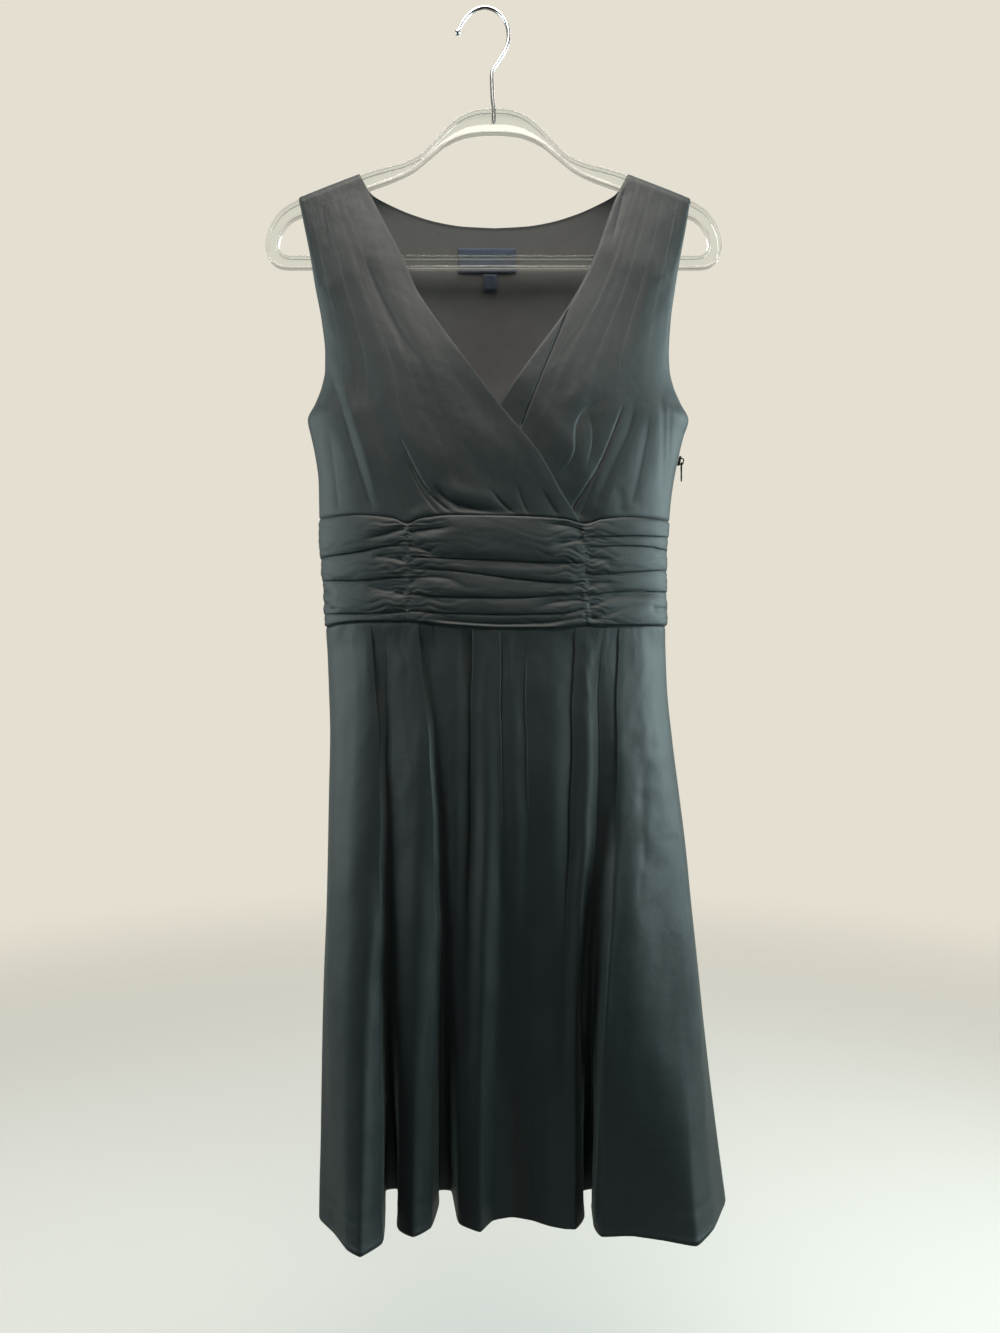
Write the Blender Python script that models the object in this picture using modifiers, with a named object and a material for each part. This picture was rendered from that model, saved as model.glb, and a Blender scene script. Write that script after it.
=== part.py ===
"""Cocktail dress on a clear clothes hanger.

A sleeveless satin dress with a crossover front, a ruched waistband and a pleated skirt hangs
from a hanger by its shoulders.  The front faces -Y and the origin is the inside of the hook's
crown.  The tables below are in millimetres, and `drop` is how far a place lies under the origin.
Left and right in the tables are -X and +X; in the names of the pieces they are the wearer's.
"""

import math
from collections import namedtuple

import bmesh
import bpy
import numpy as np
from mathutils import Matrix, Vector

MM = 0.001

# ---------------------------------------------------------------- driving sizes
CLOTH_WALL = 1.2            # thickness of every cloth wall
SEAM_GAP = 0.3              # between two pieces that are sewn together
SIDE_GAP = 0.5              # at the bodice's curved side seams, where facets differ
WAIST_GAP = 0.5             # at the waistband's curved seams, where facets differ
SEAM_LIP = 1.6              # flat strip along a seam, so that the walls meet squarely
SHOULDER_ROLL = 9.0         # radius of the fold over the hanger's arm
ROUNDNESS = 2.6             # power of the body's oval section
SKIRT_BACK_ROUNDNESS = 4.0  # the skirt's back hangs flatter than an oval

CENTRE_X = 8.0              # hanger's stem and the neckline's centre
NECK_HALF = 126.0           # neckline's half width at the shoulder seam
NECK_DROP = 156.0           # shoulder seam at the neckline
SHOULDER_SLOPE = 0.395      # fall of the shoulder seam per unit of width
UNDERARM_DROP = 387.0
WAIST_DROP = 579.0          # the waistband's lower seam at the side
HEM_DROP = 1117.0

LAP_BEHIND = 2.4            # how far the under front lies behind the top front at its edge
LAP_HIDDEN = 10.0           # and deep under it, where it is out of reach of the tucks
LAP_HIDING = 30.0           # width over which it goes that deep
LAP_FADE = 40.0             # beyond the edge the under front comes up over this width

SEAM_START = UNDERARM_DROP - 12.0   # above it the armhole's edges are free
SEAM_EASE = 6.0             # height over which the side seam draws together
BAND_EASE = 14.0            # the folds run out over this height above the band
SHOULDER_EASE = 30.0        # and over this one below the shoulder
SIDE_EASE = 0.06            # part of the half width over which they run out at the side
EDGE_CROWDING = 0.6         # how much closer columns stand at the side seam
SLEEVE_TOP_DROP = 178.0     # heights whose widths spread the columns
BACK_TOP_DROP = 165.0
BODICE_LOW_DROP = 482.0

# ---------------------------------------------------------------- outline of the body
Outline = namedtuple("Outline", "drop left right")
OUTLINE = [
    Outline(178, -174.5, 192.3), Outline(208, -168.4, 187.5), Outline(233, -163.4, 182.8),
    Outline(265, -158.0, 177.3), Outline(297, -152.0, 173.0), Outline(326, -149.0, 171.4),
    Outline(341, -149.2, 172.2), Outline(356, -152.3, 175.8), Outline(372, -158.8, 183.0),
    Outline(387, -166.0, 190.5), Outline(402, -163.0, 186.0), Outline(417, -159.7, 182.3),
    Outline(444, -156.0, 176.8), Outline(466, -155.5, 173.8), Outline(482, -155.2, 172.5),
    Outline(512, -153.6, 169.8), Outline(548, -151.0, 169.5), Outline(579, -149.5, 169.5),
    Outline(633, -146.8, 171.0), Outline(685, -145.0, 176.0), Outline(737, -145.6, 182.5),
    Outline(786, -145.9, 188.5), Outline(840, -146.5, 193.5), Outline(892, -148.0, 199.0),
    Outline(945, -149.0, 204.5), Outline(997, -149.4, 210.3), Outline(1051, -149.8, 217.0),
    Outline(1093, -150.4, 222.5), Outline(1117, -150.5, 225.8),
]

# How far the front and the back stand out from the plane of the hanger.
Form = namedtuple("Form", "drop front_edge front_depth back_edge back_depth")
FORM = [
    Form(156, -9.0, 0.0, 9.0, 0.0), Form(178, -9.0, 3.0, 9.0, 1.5),
    Form(208, -9.0, 9.0, 9.0, 3.5), Form(265, -8.5, 20.0, 9.0, 6.0),
    Form(326, -7.0, 33.0, 8.0, 9.0), Form(360, -4.5, 40.0, 5.0, 12.0),
    Form(387, -1.0, 44.0, -1.0, 17.0), Form(417, -1.0, 46.0, -1.0, 19.0),
    Form(482, -1.0, 44.0, -1.0, 20.0), Form(530, -1.0, 43.0, -1.0, 20.0),
    Form(579, -1.0, 44.0, -1.0, 20.0),
]

# Depth of the side seams and of the back, down the skirt.
SkirtForm = namedtuple("SkirtForm", "drop left_seam right_seam back")
SKIRT_FORM = [
    SkirtForm(579, -1.0, -1.0, 19.0), SkirtForm(715, -9.0, -2.0, 28.0),
    SkirtForm(900, -22.0, -4.0, 34.0), SkirtForm(1117, -34.0, -5.0, 38.0),
]

# ---------------------------------------------------------------- cut edges of the bodice
BackNeck = namedtuple("BackNeck", "from_centre drop")
BACK_NECK = [
    BackNeck(0, 200.5), BackNeck(30, 199.0), BackNeck(55, 195.0), BackNeck(80, 187.5),
    BackNeck(102, 177.6), BackNeck(113, 171.5), BackNeck(120, 165.0),
    BackNeck(126, 156.0),
]
Edge = namedtuple("Edge", "drop x")
TOP_FRONT_EDGE = [
    Edge(156, -118.0), Edge(200, -96.0), Edge(243, -74.7), Edge(272, -62.5), Edge(298, -46.7),
    Edge(350, -10.0), Edge(381, 13.0), Edge(428, 50.6), Edge(461, 69.4), Edge(486, 85.5),
]
UNDER_FRONT_EDGE = [
    Edge(156, 134.0), Edge(187, 119.5), Edge(225, 106.4), Edge(256, 94.0), Edge(292, 74.4),
    Edge(330, 48.0), Edge(380, 13.0), Edge(437, -26.0), Edge(486, -52.0),
]

# ---------------------------------------------------------------- waistband
BandSeam = namedtuple("BandSeam", "x top_drop bottom_drop")
BAND_SEAMS = [
    BandSeam(-155, 480.8, 579.0), BandSeam(-112, 481.0, 577.5), BandSeam(-70, 485.8, 578.2),
    BandSeam(-20, 482.4, 581.0), BandSeam(20, 482.4, 582.6), BandSeam(58, 484.4, 582.4),
    BandSeam(91, 486.6, 581.0), BandSeam(136, 482.6, 579.6), BandSeam(172, 481.8, 578.6),
]
GATHER_LEFT_X = -69.0       # the gathered seam on the wearer's right
GATHER_RIGHT_X = 90.5       # and on the wearer's left

# Valleys of the ruching: where each starts and ends, as parts of the band's height.
Ruche = namedtuple("Ruche", "start end depth width")
RUCHES_CENTRE = [
    Ruche(0.17, 0.15, 2.2, 0.055), Ruche(0.38, 0.42, 4.0, 0.060), Ruche(0.50, 0.60, 3.2, 0.065),
    Ruche(0.72, 0.70, 2.2, 0.050), Ruche(0.86, 0.84, 4.0, 0.055),
]
RUCHES_RIGHT = [
    Ruche(0.38, 0.22, 3.2, 0.060), Ruche(0.62, 0.56, 3.2, 0.060), Ruche(0.80, 0.74, 2.0, 0.050),
    Ruche(0.92, 0.89, 2.6, 0.045),
]
RUCHES_LEFT = [
    Ruche(0.17, 0.19, 2.6, 0.050), Ruche(0.28, 0.34, 3.0, 0.060), Ruche(0.53, 0.49, 3.0, 0.060),
    Ruche(0.73, 0.70, 3.2, 0.055), Ruche(0.90, 0.82, 1.8, 0.050),
]
RUCHES_BACK = [
    Ruche(0.16, 0.22, 2.4, 0.050), Ruche(0.36, 0.33, 3.2, 0.055), Ruche(0.52, 0.58, 3.0, 0.060),
    Ruche(0.74, 0.71, 2.8, 0.050), Ruche(0.88, 0.90, 2.2, 0.045),
]
BAND_PUFF = 2.6             # how far a panel stands out between its seams
RUCHE_EASE = 0.08           # part of the height over which the ruching runs out
RUCHE_SIDE_EASE = 0.10      # and part of the half width
BACK_BAND_TOP, BACK_BAND_BOTTOM = 481.0, 579.0

# ---------------------------------------------------------------- folds of the bodice
Fold = namedtuple("Fold", "top_x top_drop low_x low_drop depth width")
FOLDS_TOP_FRONT = [
    Fold(-72, 414, -32, 478, 4.0, 7.0), Fold(-40, 462, 22, 478, 5.0, 8.0),
    Fold(-124, 292, -82, 412, 2.6, 9.0), Fold(-80, 415, -58, 470, 2.4, 7.0),
    Fold(-142, 352, -104, 464, -2.2, 9.0), Fold(-104, 262, -50, 345, 1.8, 10.0),
]
FOLDS_UNDER_FRONT = [
    Fold(122, 384, 84, 468, 4.0, 7.0), Fold(100, 392, 96, 446, 2.8, 7.0),
    Fold(82, 400, 68, 450, 3.4, 8.0), Fold(162, 366, 161, 450, 2.0, 6.0),
]
FOLDS_BACK_BODICE = [
    Fold(-70, 360, -58, 478, 3.0, 9.0), Fold(88, 352, 74, 478, 3.0, 9.0),
    Fold(-120, 330, -96, 440, 1.8, 10.0), Fold(134, 340, 118, 452, 1.8, 10.0),
]

# ---------------------------------------------------------------- pleats of the skirt's front
# One row for each crest, flank or valley, from side seam to side seam, at four heights.
PLEAT_DROPS = (600.0, 715.0, 900.0, HEM_DROP)
PLEAT_OPENING = 46.0        # the pleats come out of the waist seam over this height
PleatPlace = namedtuple("PleatPlace", "drop x y")
Pleat = namedtuple("Pleat", "name x1 y1 x2 y2 x3 y3 x4 y4")
PLEATS = [
    Pleat("seam_left", -149.2, -1.0, -145.3, -9.0, -148.2, -22.0, -150.5, -34.0),
    Pleat("a_flank", -139.0, -16.0, -137.0, -27.0, -139.0, -42.0, -133.0, -58.0),
    Pleat("a_front", -124.0, -27.0, -121.0, -39.0, -122.0, -61.0, -118.0, -83.0),
    Pleat("a_crest", -106.0, -37.0, -104.0, -46.0, -104.0, -68.0, -104.0, -93.5),
    Pleat("a_turn", -97.0, -37.0, -94.0, -43.0, -93.0, -55.0, -87.0, -72.0),
    Pleat("slot_1_left", -92.0, -32.0, -90.0, -36.0, -91.5, -33.0, -90.5, -30.0),
    Pleat("slot_1", -88.0, -29.5, -86.0, -31.0, -88.0, -16.0, -90.0, 6.0),
    Pleat("slot_1_right", -83.0, -35.0, -81.0, -38.0, -83.0, -28.0, -83.0, -12.0),
    Pleat("b_turn", -75.0, -43.0, -73.0, -49.0, -75.0, -53.0, -78.0, -50.0),
    Pleat("b_crest", -65.0, -47.0, -61.0, -54.0, -61.0, -62.0, -62.0, -63.5),
    Pleat("b_flank", -58.5, -43.5, -51.0, -50.0, -48.5, -50.0, -47.0, -48.0),
    Pleat("slot_2_left", -55.0, -37.5, -46.0, -41.0, -43.0, -30.0, -41.5, -20.0),
    Pleat("slot_2", -51.5, -34.0, -42.0, -35.5, -38.5, -13.0, -37.5, 12.0),
    Pleat("slot_2_right", -46.0, -39.5, -37.0, -41.0, -32.5, -28.0, -31.0, -15.0),
    Pleat("c_turn", -30.0, -45.0, -26.0, -48.0, -25.0, -44.0, -23.0, -40.0),
    Pleat("c_fold", -10.0, -38.0, -11.0, -38.5, -13.0, -46.0, -13.0, -50.0),
    Pleat("c_crest_1", 2.0, -51.0, 0.0, -55.0, -3.0, -57.0, -3.0, -55.5),
    Pleat("c_hollow_1", 14.0, -41.0, 14.0, -45.5, 12.0, -43.0, 8.0, -38.0),
    Pleat("c_crest_2", 25.5, -50.0, 26.0, -52.0, 26.0, -42.0, 25.0, -32.5),
    Pleat("c_hollow_2", 38.0, -42.0, 38.5, -47.0, 41.0, -44.0, 42.0, -37.5),
    Pleat("c_crest_3", 56.0, -50.0, 57.0, -55.0, 58.0, -52.0, 57.0, -45.5),
    Pleat("c_hollow_3", 80.0, -39.5, 77.0, -42.5, 73.0, -49.5, 71.0, -50.5),
    Pleat("c_crest_4", 92.0, -48.0, 88.0, -53.0, 84.0, -53.5, 81.5, -51.0),
    Pleat("c_turn_4", 99.0, -41.0, 97.0, -45.0, 91.0, -38.0, 90.0, -35.0),
    Pleat("slot_3_left", 104.0, -37.0, 101.0, -39.5, 95.0, -23.0, 93.0, -9.0),
    Pleat("slot_3", 108.0, -40.0, 104.5, -42.5, 100.0, -10.0, 98.0, 16.0),
    Pleat("slot_3_right", 112.0, -42.0, 108.5, -46.0, 104.5, -25.0, 101.0, -14.0),
    Pleat("d_flank", 120.0, -31.5, 117.0, -35.0, 108.0, -43.0, 97.5, -50.0),
    Pleat("d_turn", 127.5, -38.0, 124.0, -46.0, 114.0, -58.0, 103.0, -63.5),
    Pleat("d_front", 137.0, -35.0, 136.5, -51.0, 134.0, -62.0, 131.0, -60.0),
    Pleat("d_swell", 148.0, -27.0, 150.0, -45.0, 156.0, -66.0, 160.0, -70.0),
    Pleat("d_crest", 158.0, -17.5, 163.0, -33.0, 178.0, -58.0, 184.0, -81.0),
    Pleat("d_side", 165.5, -9.5, 172.0, -18.0, 192.0, -32.0, 205.0, -54.0),
    Pleat("seam_right", 169.5, -1.0, 178.5, -2.0, 199.8, -4.0, 225.8, -5.0),
]

# Valleys of the skirt's back, as parts of its width.
BACK_PLEAT_START = 0.35     # part of a valley's depth that it opens with at the waist
BACK_EDGE_PART = 0.16       # the columns stand closer together in this part at each side
BACK_EDGE_U = 0.876         # and reach this far out of the middle where it ends
BackPleat = namedtuple("BackPleat", "waist hem depth width")
BACK_PLEATS = [
    BackPleat(-0.72, -0.70, 7.0, 0.060), BackPleat(-0.50, -0.44, 9.0, 0.075),
    BackPleat(-0.28, -0.20, 6.0, 0.060), BackPleat(-0.06, 0.02, 10.0, 0.080),
    BackPleat(0.18, 0.22, 6.0, 0.060), BackPleat(0.42, 0.45, 9.5, 0.075),
    BackPleat(0.68, 0.70, 7.0, 0.065),
]

# ---------------------------------------------------------------- labels
LABEL_WIDTH, LABEL_HEIGHT = 55.0, 23.0
LABEL_X, LABEL_DROP = 1.6, 219.5    # centre and top edge
TAB_WIDTH, TAB_HEIGHT = 13.0, 15.5
TAB_X, TAB_DROP = 4.5, 244.0
LABEL_WALL = 0.6

# ---------------------------------------------------------------- hanger
HANGER_THICKNESS = 8.0
HANGER_ROUNDING = 3.0
BAR_TOP, BAR_BOTTOM = 232.0, 244.0
ARM_CLEARANCE = 0.5         # under the cloth that rests on the arm
WIRE_RADIUS = 1.9
WIRE_TIP_RADIUS = 2.7
STEM_END_DROP = 107.0
HUMP_UNDER_DROP = 117.2
BORE_BELOW_STEM = 0.4
BORE_ABOVE_HUMP = 4.0

HangerPoint = namedtuple("HangerPoint", "from_centre drop")
HUMP_TOP = [
    HangerPoint(0, 94.5), HangerPoint(15, 95.6), HangerPoint(30, 101.0), HangerPoint(45, 113.0),
    HangerPoint(57, 126.0), HangerPoint(69, 137.6), HangerPoint(84, 145.0),
    HangerPoint(104, 150.4),
]
LOOP_OUTER = [
    HangerPoint(199, 190.0), HangerPoint(209, 204.0), HangerPoint(213.5, 220.0),
    HangerPoint(211.5, 234.0), HangerPoint(203, 242.0),
]
LOOP_INNER = [
    HangerPoint(190, BAR_TOP), HangerPoint(199.0, 228.5), HangerPoint(201.5, 220.0),
    HangerPoint(198, 209.0), HangerPoint(190, 199.5), HangerPoint(178, 193.5),
]
HUMP_UNDER = [
    HangerPoint(120, 170.8), HangerPoint(92, 160.6), HangerPoint(76, 152.6),
    HangerPoint(62, 141.5), HangerPoint(46, 128.5), HangerPoint(28, 120.2),
    HangerPoint(12, 117.6),
]

# Centre line of the bent wire in the plane of the hanger, from the tip to the stem's end.
WirePoint = namedtuple("WirePoint", "x drop")
HOOK_BEND = [
    WirePoint(-26.8, 24.6), WirePoint(-22.2, 13.9), WirePoint(-15.0, 4.7), WirePoint(-7.6, -0.2),
    WirePoint(0.0, -1.9), WirePoint(7.6, 0.0), WirePoint(14.4, 4.8), WirePoint(19.4, 12.0),
    WirePoint(21.9, 21.5), WirePoint(21.7, 29.5), WirePoint(19.2, 38.0), WirePoint(13.4, 47.6),
    WirePoint(7.4, 57.0), WirePoint(6.2, 61.5),
]

# ---------------------------------------------------------------- zip
ZIP_DROP = 424.0            # slider's centre on the side seam at +X
SLIDER_WIDTH, SLIDER_LENGTH, SLIDER_THICKNESS = 5.0, 8.6, 2.2
SLIDER_SEAT = 0.45          # from the side seam to the slider's inner face
SLIDER_ROUNDING = 0.5
BAIL_HALF_LENGTH = 2.8
BAIL_HEIGHT = 2.6           # from the slider's face to the bail's centre line
BAIL_RADIUS = 0.6
BAIL_SUNK = 0.8             # how deep its feet stand in the slider
PULL_AXIS_HEIGHT = 1.05     # of the pull's cross bar above the slider's face
PULL_AXIS_BELOW_CENTRE = 1.4
PULL_LENGTH, PULL_WIDTH, PULL_THICKNESS = 17.5, 4.8, 0.9
PULL_EYE_WIDTH, PULL_EYE_LENGTH = 2.6, 5.0
# Half outline of the pull, downwards from the eye: part of the half width, and distance down.
PullPoint = namedtuple("PullPoint", "width down")
PULL_OUTLINE = [
    PullPoint(1.0, 6.5), PullPoint(0.72, 10.5), PullPoint(0.86, 14.0), PullPoint(0.62, 16.9),
]


# ================================================================ helpers
def level_slopes(grid, rows):
    """Slopes for a curve that never swings past the values it runs through."""
    rises = np.diff(rows, axis=0) / np.diff(grid)[:, None]
    slopes = np.concatenate([rises[:1], np.zeros_like(rises[1:]), rises[-1:]])
    same_way = rises[:-1] * rises[1:] > 0
    total = np.where(same_way, rises[:-1] + rises[1:], 1.0)
    slopes[1:-1] = np.where(same_way, 2 * rises[:-1] * rises[1:] / total, 0.0)
    return slopes


def smooth(table, keys, columns, at):
    """Read columns of a table at a key, on a smooth curve through its rows."""
    rows = np.array([[getattr(row, name) for name in columns] for row in table], float)
    grid = np.array([getattr(row, keys) for row in table], float)
    slopes = level_slopes(grid, rows)
    at = min(max(at, grid[0]), grid[-1])
    i = min(max(int(np.searchsorted(grid, at)) - 1, 0), len(grid) - 2)
    span = grid[i + 1] - grid[i]
    u = (at - grid[i]) / span
    value = ((1 + 2 * u) * (1 - u) ** 2 * rows[i] + u * (1 - u) ** 2 * span * slopes[i]
             + u * u * (3 - 2 * u) * rows[i + 1] + u * u * (u - 1) * span * slopes[i + 1])
    return value if len(columns) > 1 else float(value[0])


def lerp(a, b, t):
    """Straight mix of two values."""
    return a + (b - a) * t


def ramp(value):
    """Soft step from 0 to 1."""
    value = min(max(value, 0.0), 1.0)
    return value * value * (3 - 2 * value)


def bell(distance, width):
    """Soft bump of height 1."""
    return math.exp(-(distance / width) ** 2)


def spline_through(points, count):
    """Points spread evenly along a smooth curve through the given ones."""
    points = np.array(points, float)
    steps = np.sqrt(np.linalg.norm(np.diff(points, axis=0), axis=1))
    knots = np.concatenate([[0.0], np.cumsum(steps)])
    slopes = np.gradient(points, knots, axis=0)
    dense = []
    for at in np.linspace(0.0, knots[-1], count * 8):
        i = min(max(int(np.searchsorted(knots, at)) - 1, 0), len(knots) - 2)
        span = knots[i + 1] - knots[i]
        u = (at - knots[i]) / span
        dense.append((1 + 2 * u) * (1 - u) ** 2 * points[i] + u * (1 - u) ** 2 * span * slopes[i]
                     + u * u * (3 - 2 * u) * points[i + 1]
                     + u * u * (u - 1) * span * slopes[i + 1])
    dense = np.array(dense)
    length = np.concatenate([[0.0], np.cumsum(np.linalg.norm(np.diff(dense, axis=0), axis=1))])
    even = np.linspace(0.0, length[-1], count)
    return np.stack([np.interp(even, length, dense[:, k]) for k in range(dense.shape[1])], axis=1)


def clear_scene():
    """Remove whatever the file holds."""
    for thing in list(bpy.data.objects):
        bpy.data.objects.remove(thing, do_unlink=True)


def make_material(name, colour, roughness, metallic=0.0, transmission=0.0):
    """A plain Principled material."""
    material = bpy.data.materials.new(name)
    material.use_nodes = True
    shader = material.node_tree.nodes["Principled BSDF"]
    shader.inputs["Base Color"].default_value = (*colour, 1.0)
    shader.inputs["Roughness"].default_value = roughness
    shader.inputs["Metallic"].default_value = metallic
    shader.inputs["Transmission Weight"].default_value = transmission
    material.diffuse_color = (*colour, 1.0)
    return material


def add_object(name, data, material, collection):
    """Put a mesh or curve into the collection under its own name."""
    data.materials.append(material)
    thing = bpy.data.objects.new(name, data)
    collection.objects.link(thing)
    return thing


def with_lip(points, edge, direction, sewn=None):
    """Add a strip along one edge of a grid: flat where it is sewn, on the cloth's run elsewhere."""
    lines = {"top": (points[0], points[1]), "bottom": (points[-1], points[-2]),
             "start": (points[:, 0], points[:, 1]), "end": (points[:, -1], points[:, -2])}
    places = {"top": (1, 0), "bottom": (-1, 0), "start": (1, 1), "end": (-1, 1)}
    border, beside = lines[edge]
    flat = border + np.array(direction, float) * SEAM_LIP
    free = lerp(border, beside, 0.3)
    strip = flat if sewn is None else np.where(np.array(sewn)[:, None], flat, free)
    index, axis = places[edge]
    return np.insert(points, index, strip, axis=axis)


def below_underarm(points):
    """Which rows of a bodice grid lie on the side seam."""
    return points[:, 0, 2] < -SEAM_START


def seam_offset(x, drop):
    """How far a bodice piece stays off the plane of the side and shoulder seams."""
    side = SIDE_GAP / 2 * ramp((drop - SEAM_START) / SEAM_EASE)
    return max(side, SEAM_GAP / 2 * (1 - shoulder_roll(x, drop)))


def cloth_sheet(name, points, material, collection, wall=CLOTH_WALL):
    """A wall of cloth from the grid of its outer points, thickened inwards.

    Rows run down the piece, and columns run to the right as seen from outside.
    """
    rows, columns = points.shape[:2]
    faces = []
    for row in range(rows - 1):
        for column in range(columns - 1):
            corner = row * columns + column
            faces.append((corner, corner + columns, corner + columns + 1, corner + 1))
    mesh = bpy.data.meshes.new(name)
    mesh.from_pydata((points.reshape(-1, 3) * MM).tolist(), [], faces)
    mesh.polygons.foreach_set("use_smooth", [True] * len(faces))
    sheet = add_object(name, mesh, material, collection)
    solidify = sheet.modifiers.new("wall", "SOLIDIFY")
    solidify.thickness = wall * MM
    solidify.offset = -1.0
    return sheet


# ================================================================ form of the worn body
def outline(drop):
    """Left and right edges of the dress at a height."""
    return smooth(OUTLINE, "drop", ("left", "right"), drop)


def across(x, drop):
    """Where x lies between the middle (0) and the edges (-1 and 1)."""
    left, right = outline(drop)
    return min(max((2 * x - left - right) / (right - left), -1.0), 1.0)


def shoulder_drop(x):
    """Height of the shoulder seam, carried on over the neck opening."""
    return NECK_DROP + (abs(x - CENTRE_X) - NECK_HALF) * SHOULDER_SLOPE


def shoulder_roll(x, drop):
    """0 on the shoulder seam and 1 where the cloth has come down past the roll."""
    fall = min(max((drop - shoulder_drop(x)) / SHOULDER_ROLL, 0.0), 1.0)
    return math.sqrt(1 - (1 - fall) ** 2)


def oval(u, power):
    """Section of the body: 1 in the middle, falling steeply to 0 at the sides."""
    return math.sqrt(max(1 - abs(u) ** power, 0.0))


def front_y(x, drop):
    """Outer face of the front, without its folds."""
    edge, depth = smooth(FORM, "drop", ("front_edge", "front_depth"), drop)
    return shoulder_roll(x, drop) * edge - depth * oval(across(x, drop), ROUNDNESS)


def back_y(x, drop):
    """Outer face of the back, without its folds."""
    edge, depth = smooth(FORM, "drop", ("back_edge", "back_depth"), drop)
    return shoulder_roll(x, drop) * edge + depth * oval(across(x, drop), ROUNDNESS)


def fold_depth(folds, x, drop):
    """How far a set of folds pushes the cloth in at a point."""
    depth = 0.0
    for fold in folds:
        run = np.array([fold.low_x - fold.top_x, fold.low_drop - fold.top_drop], float)
        offset = np.array([x - fold.top_x, drop - fold.top_drop], float)
        along = float(offset @ run / (run @ run))
        near = min(max(along, 0.0), 1.0)
        distance = float(np.linalg.norm(offset - near * run))
        taper = 0.35 + 0.65 * near
        depth += fold.depth * taper * bell(distance, fold.width)
    return depth


def band_drop(x, which):
    """Height of the waistband's upper or lower seam."""
    return smooth(BAND_SEAMS, "x", (which,), x)


# ================================================================ bodice
ROLL_ROWS = (0.0, 0.004, 0.014, 0.030)   # rows that follow the fold over the shoulder
NECK_CORNER_COLUMNS = (0.15, 0.5, 1.2, 2.6)    # distances from the corner of the back neckline


def bodice_rows(count):
    """Row positions from the shoulder (0) to the band (1)."""
    return np.concatenate([ROLL_ROWS, np.linspace(0.055, 1.0, count)])


def bodice_front_grid(edge_table, side, count, columns, folds, lap):
    """Outer points of one crossover front, from its side (-1 or 1) to its neck edge."""
    grid = np.zeros((count + len(ROLL_ROWS), columns, 3))
    for column, part in enumerate(np.linspace(0.0, 1.0, columns)):
        spread = lerp(part, 1 - math.cos(part * math.pi / 2), EDGE_CROWDING)
        side_index = 0 if side < 0 else 1
        top_x = lerp(outline(SLEEVE_TOP_DROP)[side_index], edge_table[0].x, spread)
        low_x = lerp(outline(BODICE_LOW_DROP)[side_index], edge_table[-1].x, spread)
        top = shoulder_drop(top_x)
        low = band_drop(low_x, "top_drop") - WAIST_GAP
        for row, down in enumerate(bodice_rows(count)):
            drop = lerp(top, low, down)
            inner_x = smooth(edge_table, "drop", ("x",), drop)
            x = lerp(outline(drop)[side_index], inner_x, spread)
            y = front_y(x, drop)
            settle = ramp((low - drop) / BAND_EASE) * ramp((drop - top) / SHOULDER_EASE)
            settle *= ramp((1 - abs(across(x, drop))) / SIDE_EASE)
            y += fold_depth(folds, x, drop) * settle + lap(x, drop)
            grid[row, column] = (x, y - seam_offset(x, drop), -drop)
    grid = with_lip(with_lip(grid, "top", (0, -1, 0)), "bottom", (0, 0, 1))
    grid = with_lip(grid, "start", (0, -1, 0), below_underarm(grid))
    return grid if side < 0 else grid[:, ::-1]


def no_lap(_x, _drop):
    """The top front lies on the body's own form."""
    return 0.0


def under_lap(x, drop):
    """How far the under front lies behind the top front."""
    beyond = x - smooth(TOP_FRONT_EDGE, "drop", ("x",), drop)
    hidden = lerp(LAP_BEHIND, LAP_HIDDEN, ramp(-beyond / LAP_HIDING))
    return hidden * ramp(1 - beyond / LAP_FADE)


def neck_top(x):
    """Upper edge of the back: shoulder seams with the scooped neckline between them."""
    from_centre = abs(x - CENTRE_X)
    if from_centre >= NECK_HALF:
        return shoulder_drop(x)
    return smooth(BACK_NECK, "from_centre", ("drop",), from_centre)


def bodice_back_grid(count, half_columns):
    """Outer points of the back bodice, from +X to -X."""
    left, right = outline(BACK_TOP_DROP)
    middle, half = (left + right) / 2, (right - left) / 2
    neck = [(CENTRE_X + side * NECK_HALF - middle) / half for side in (-1, 1)]
    neck_middle, neck_reach = (neck[0] + neck[1]) / 2, (neck[1] - neck[0]) / 2
    corner = np.array(NECK_CORNER_COLUMNS) / half
    shoulder = np.linspace(0.0, 1.0, 5)
    parts = np.concatenate([
        -1 + (neck[0] + 1) * (1 - np.cos(shoulder * math.pi / 2)),
        neck[0] + corner,
        neck_middle + neck_reach * np.sin(np.linspace(-1.0, 1.0, half_columns * 2)[2:-2]
                                          * math.pi / 2),
        neck[1] - corner[::-1],
        1 - (1 - neck[1]) * (1 - np.cos(shoulder[::-1] * math.pi / 2)),
    ])
    grid = np.zeros((count + len(ROLL_ROWS), len(parts), 3))
    for column, u in enumerate(parts):
        top = neck_top(middle + half * u)
        low = BACK_BAND_TOP - WAIST_GAP
        for row, down in enumerate(bodice_rows(count)):
            drop = lerp(top, low, down)
            edge_left, edge_right = outline(drop)
            x = lerp(edge_left, edge_right, (u + 1) / 2)
            settle = ramp((low - drop) / BAND_EASE) * ramp((1 - abs(u)) / SIDE_EASE)
            y = back_y(x, drop) - fold_depth(FOLDS_BACK_BODICE, x, drop) * settle
            grid[row, column] = (x, y + seam_offset(x, drop), -drop)
    grid = with_lip(grid, "top", (0, 1, 0), (parts <= neck[0]) | (parts >= neck[1]))
    grid = with_lip(grid, "bottom", (0, 0, 1))
    for edge in ("start", "end"):
        grid = with_lip(grid, edge, (0, 1, 0), below_underarm(grid))
    return grid[:, ::-1]


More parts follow.
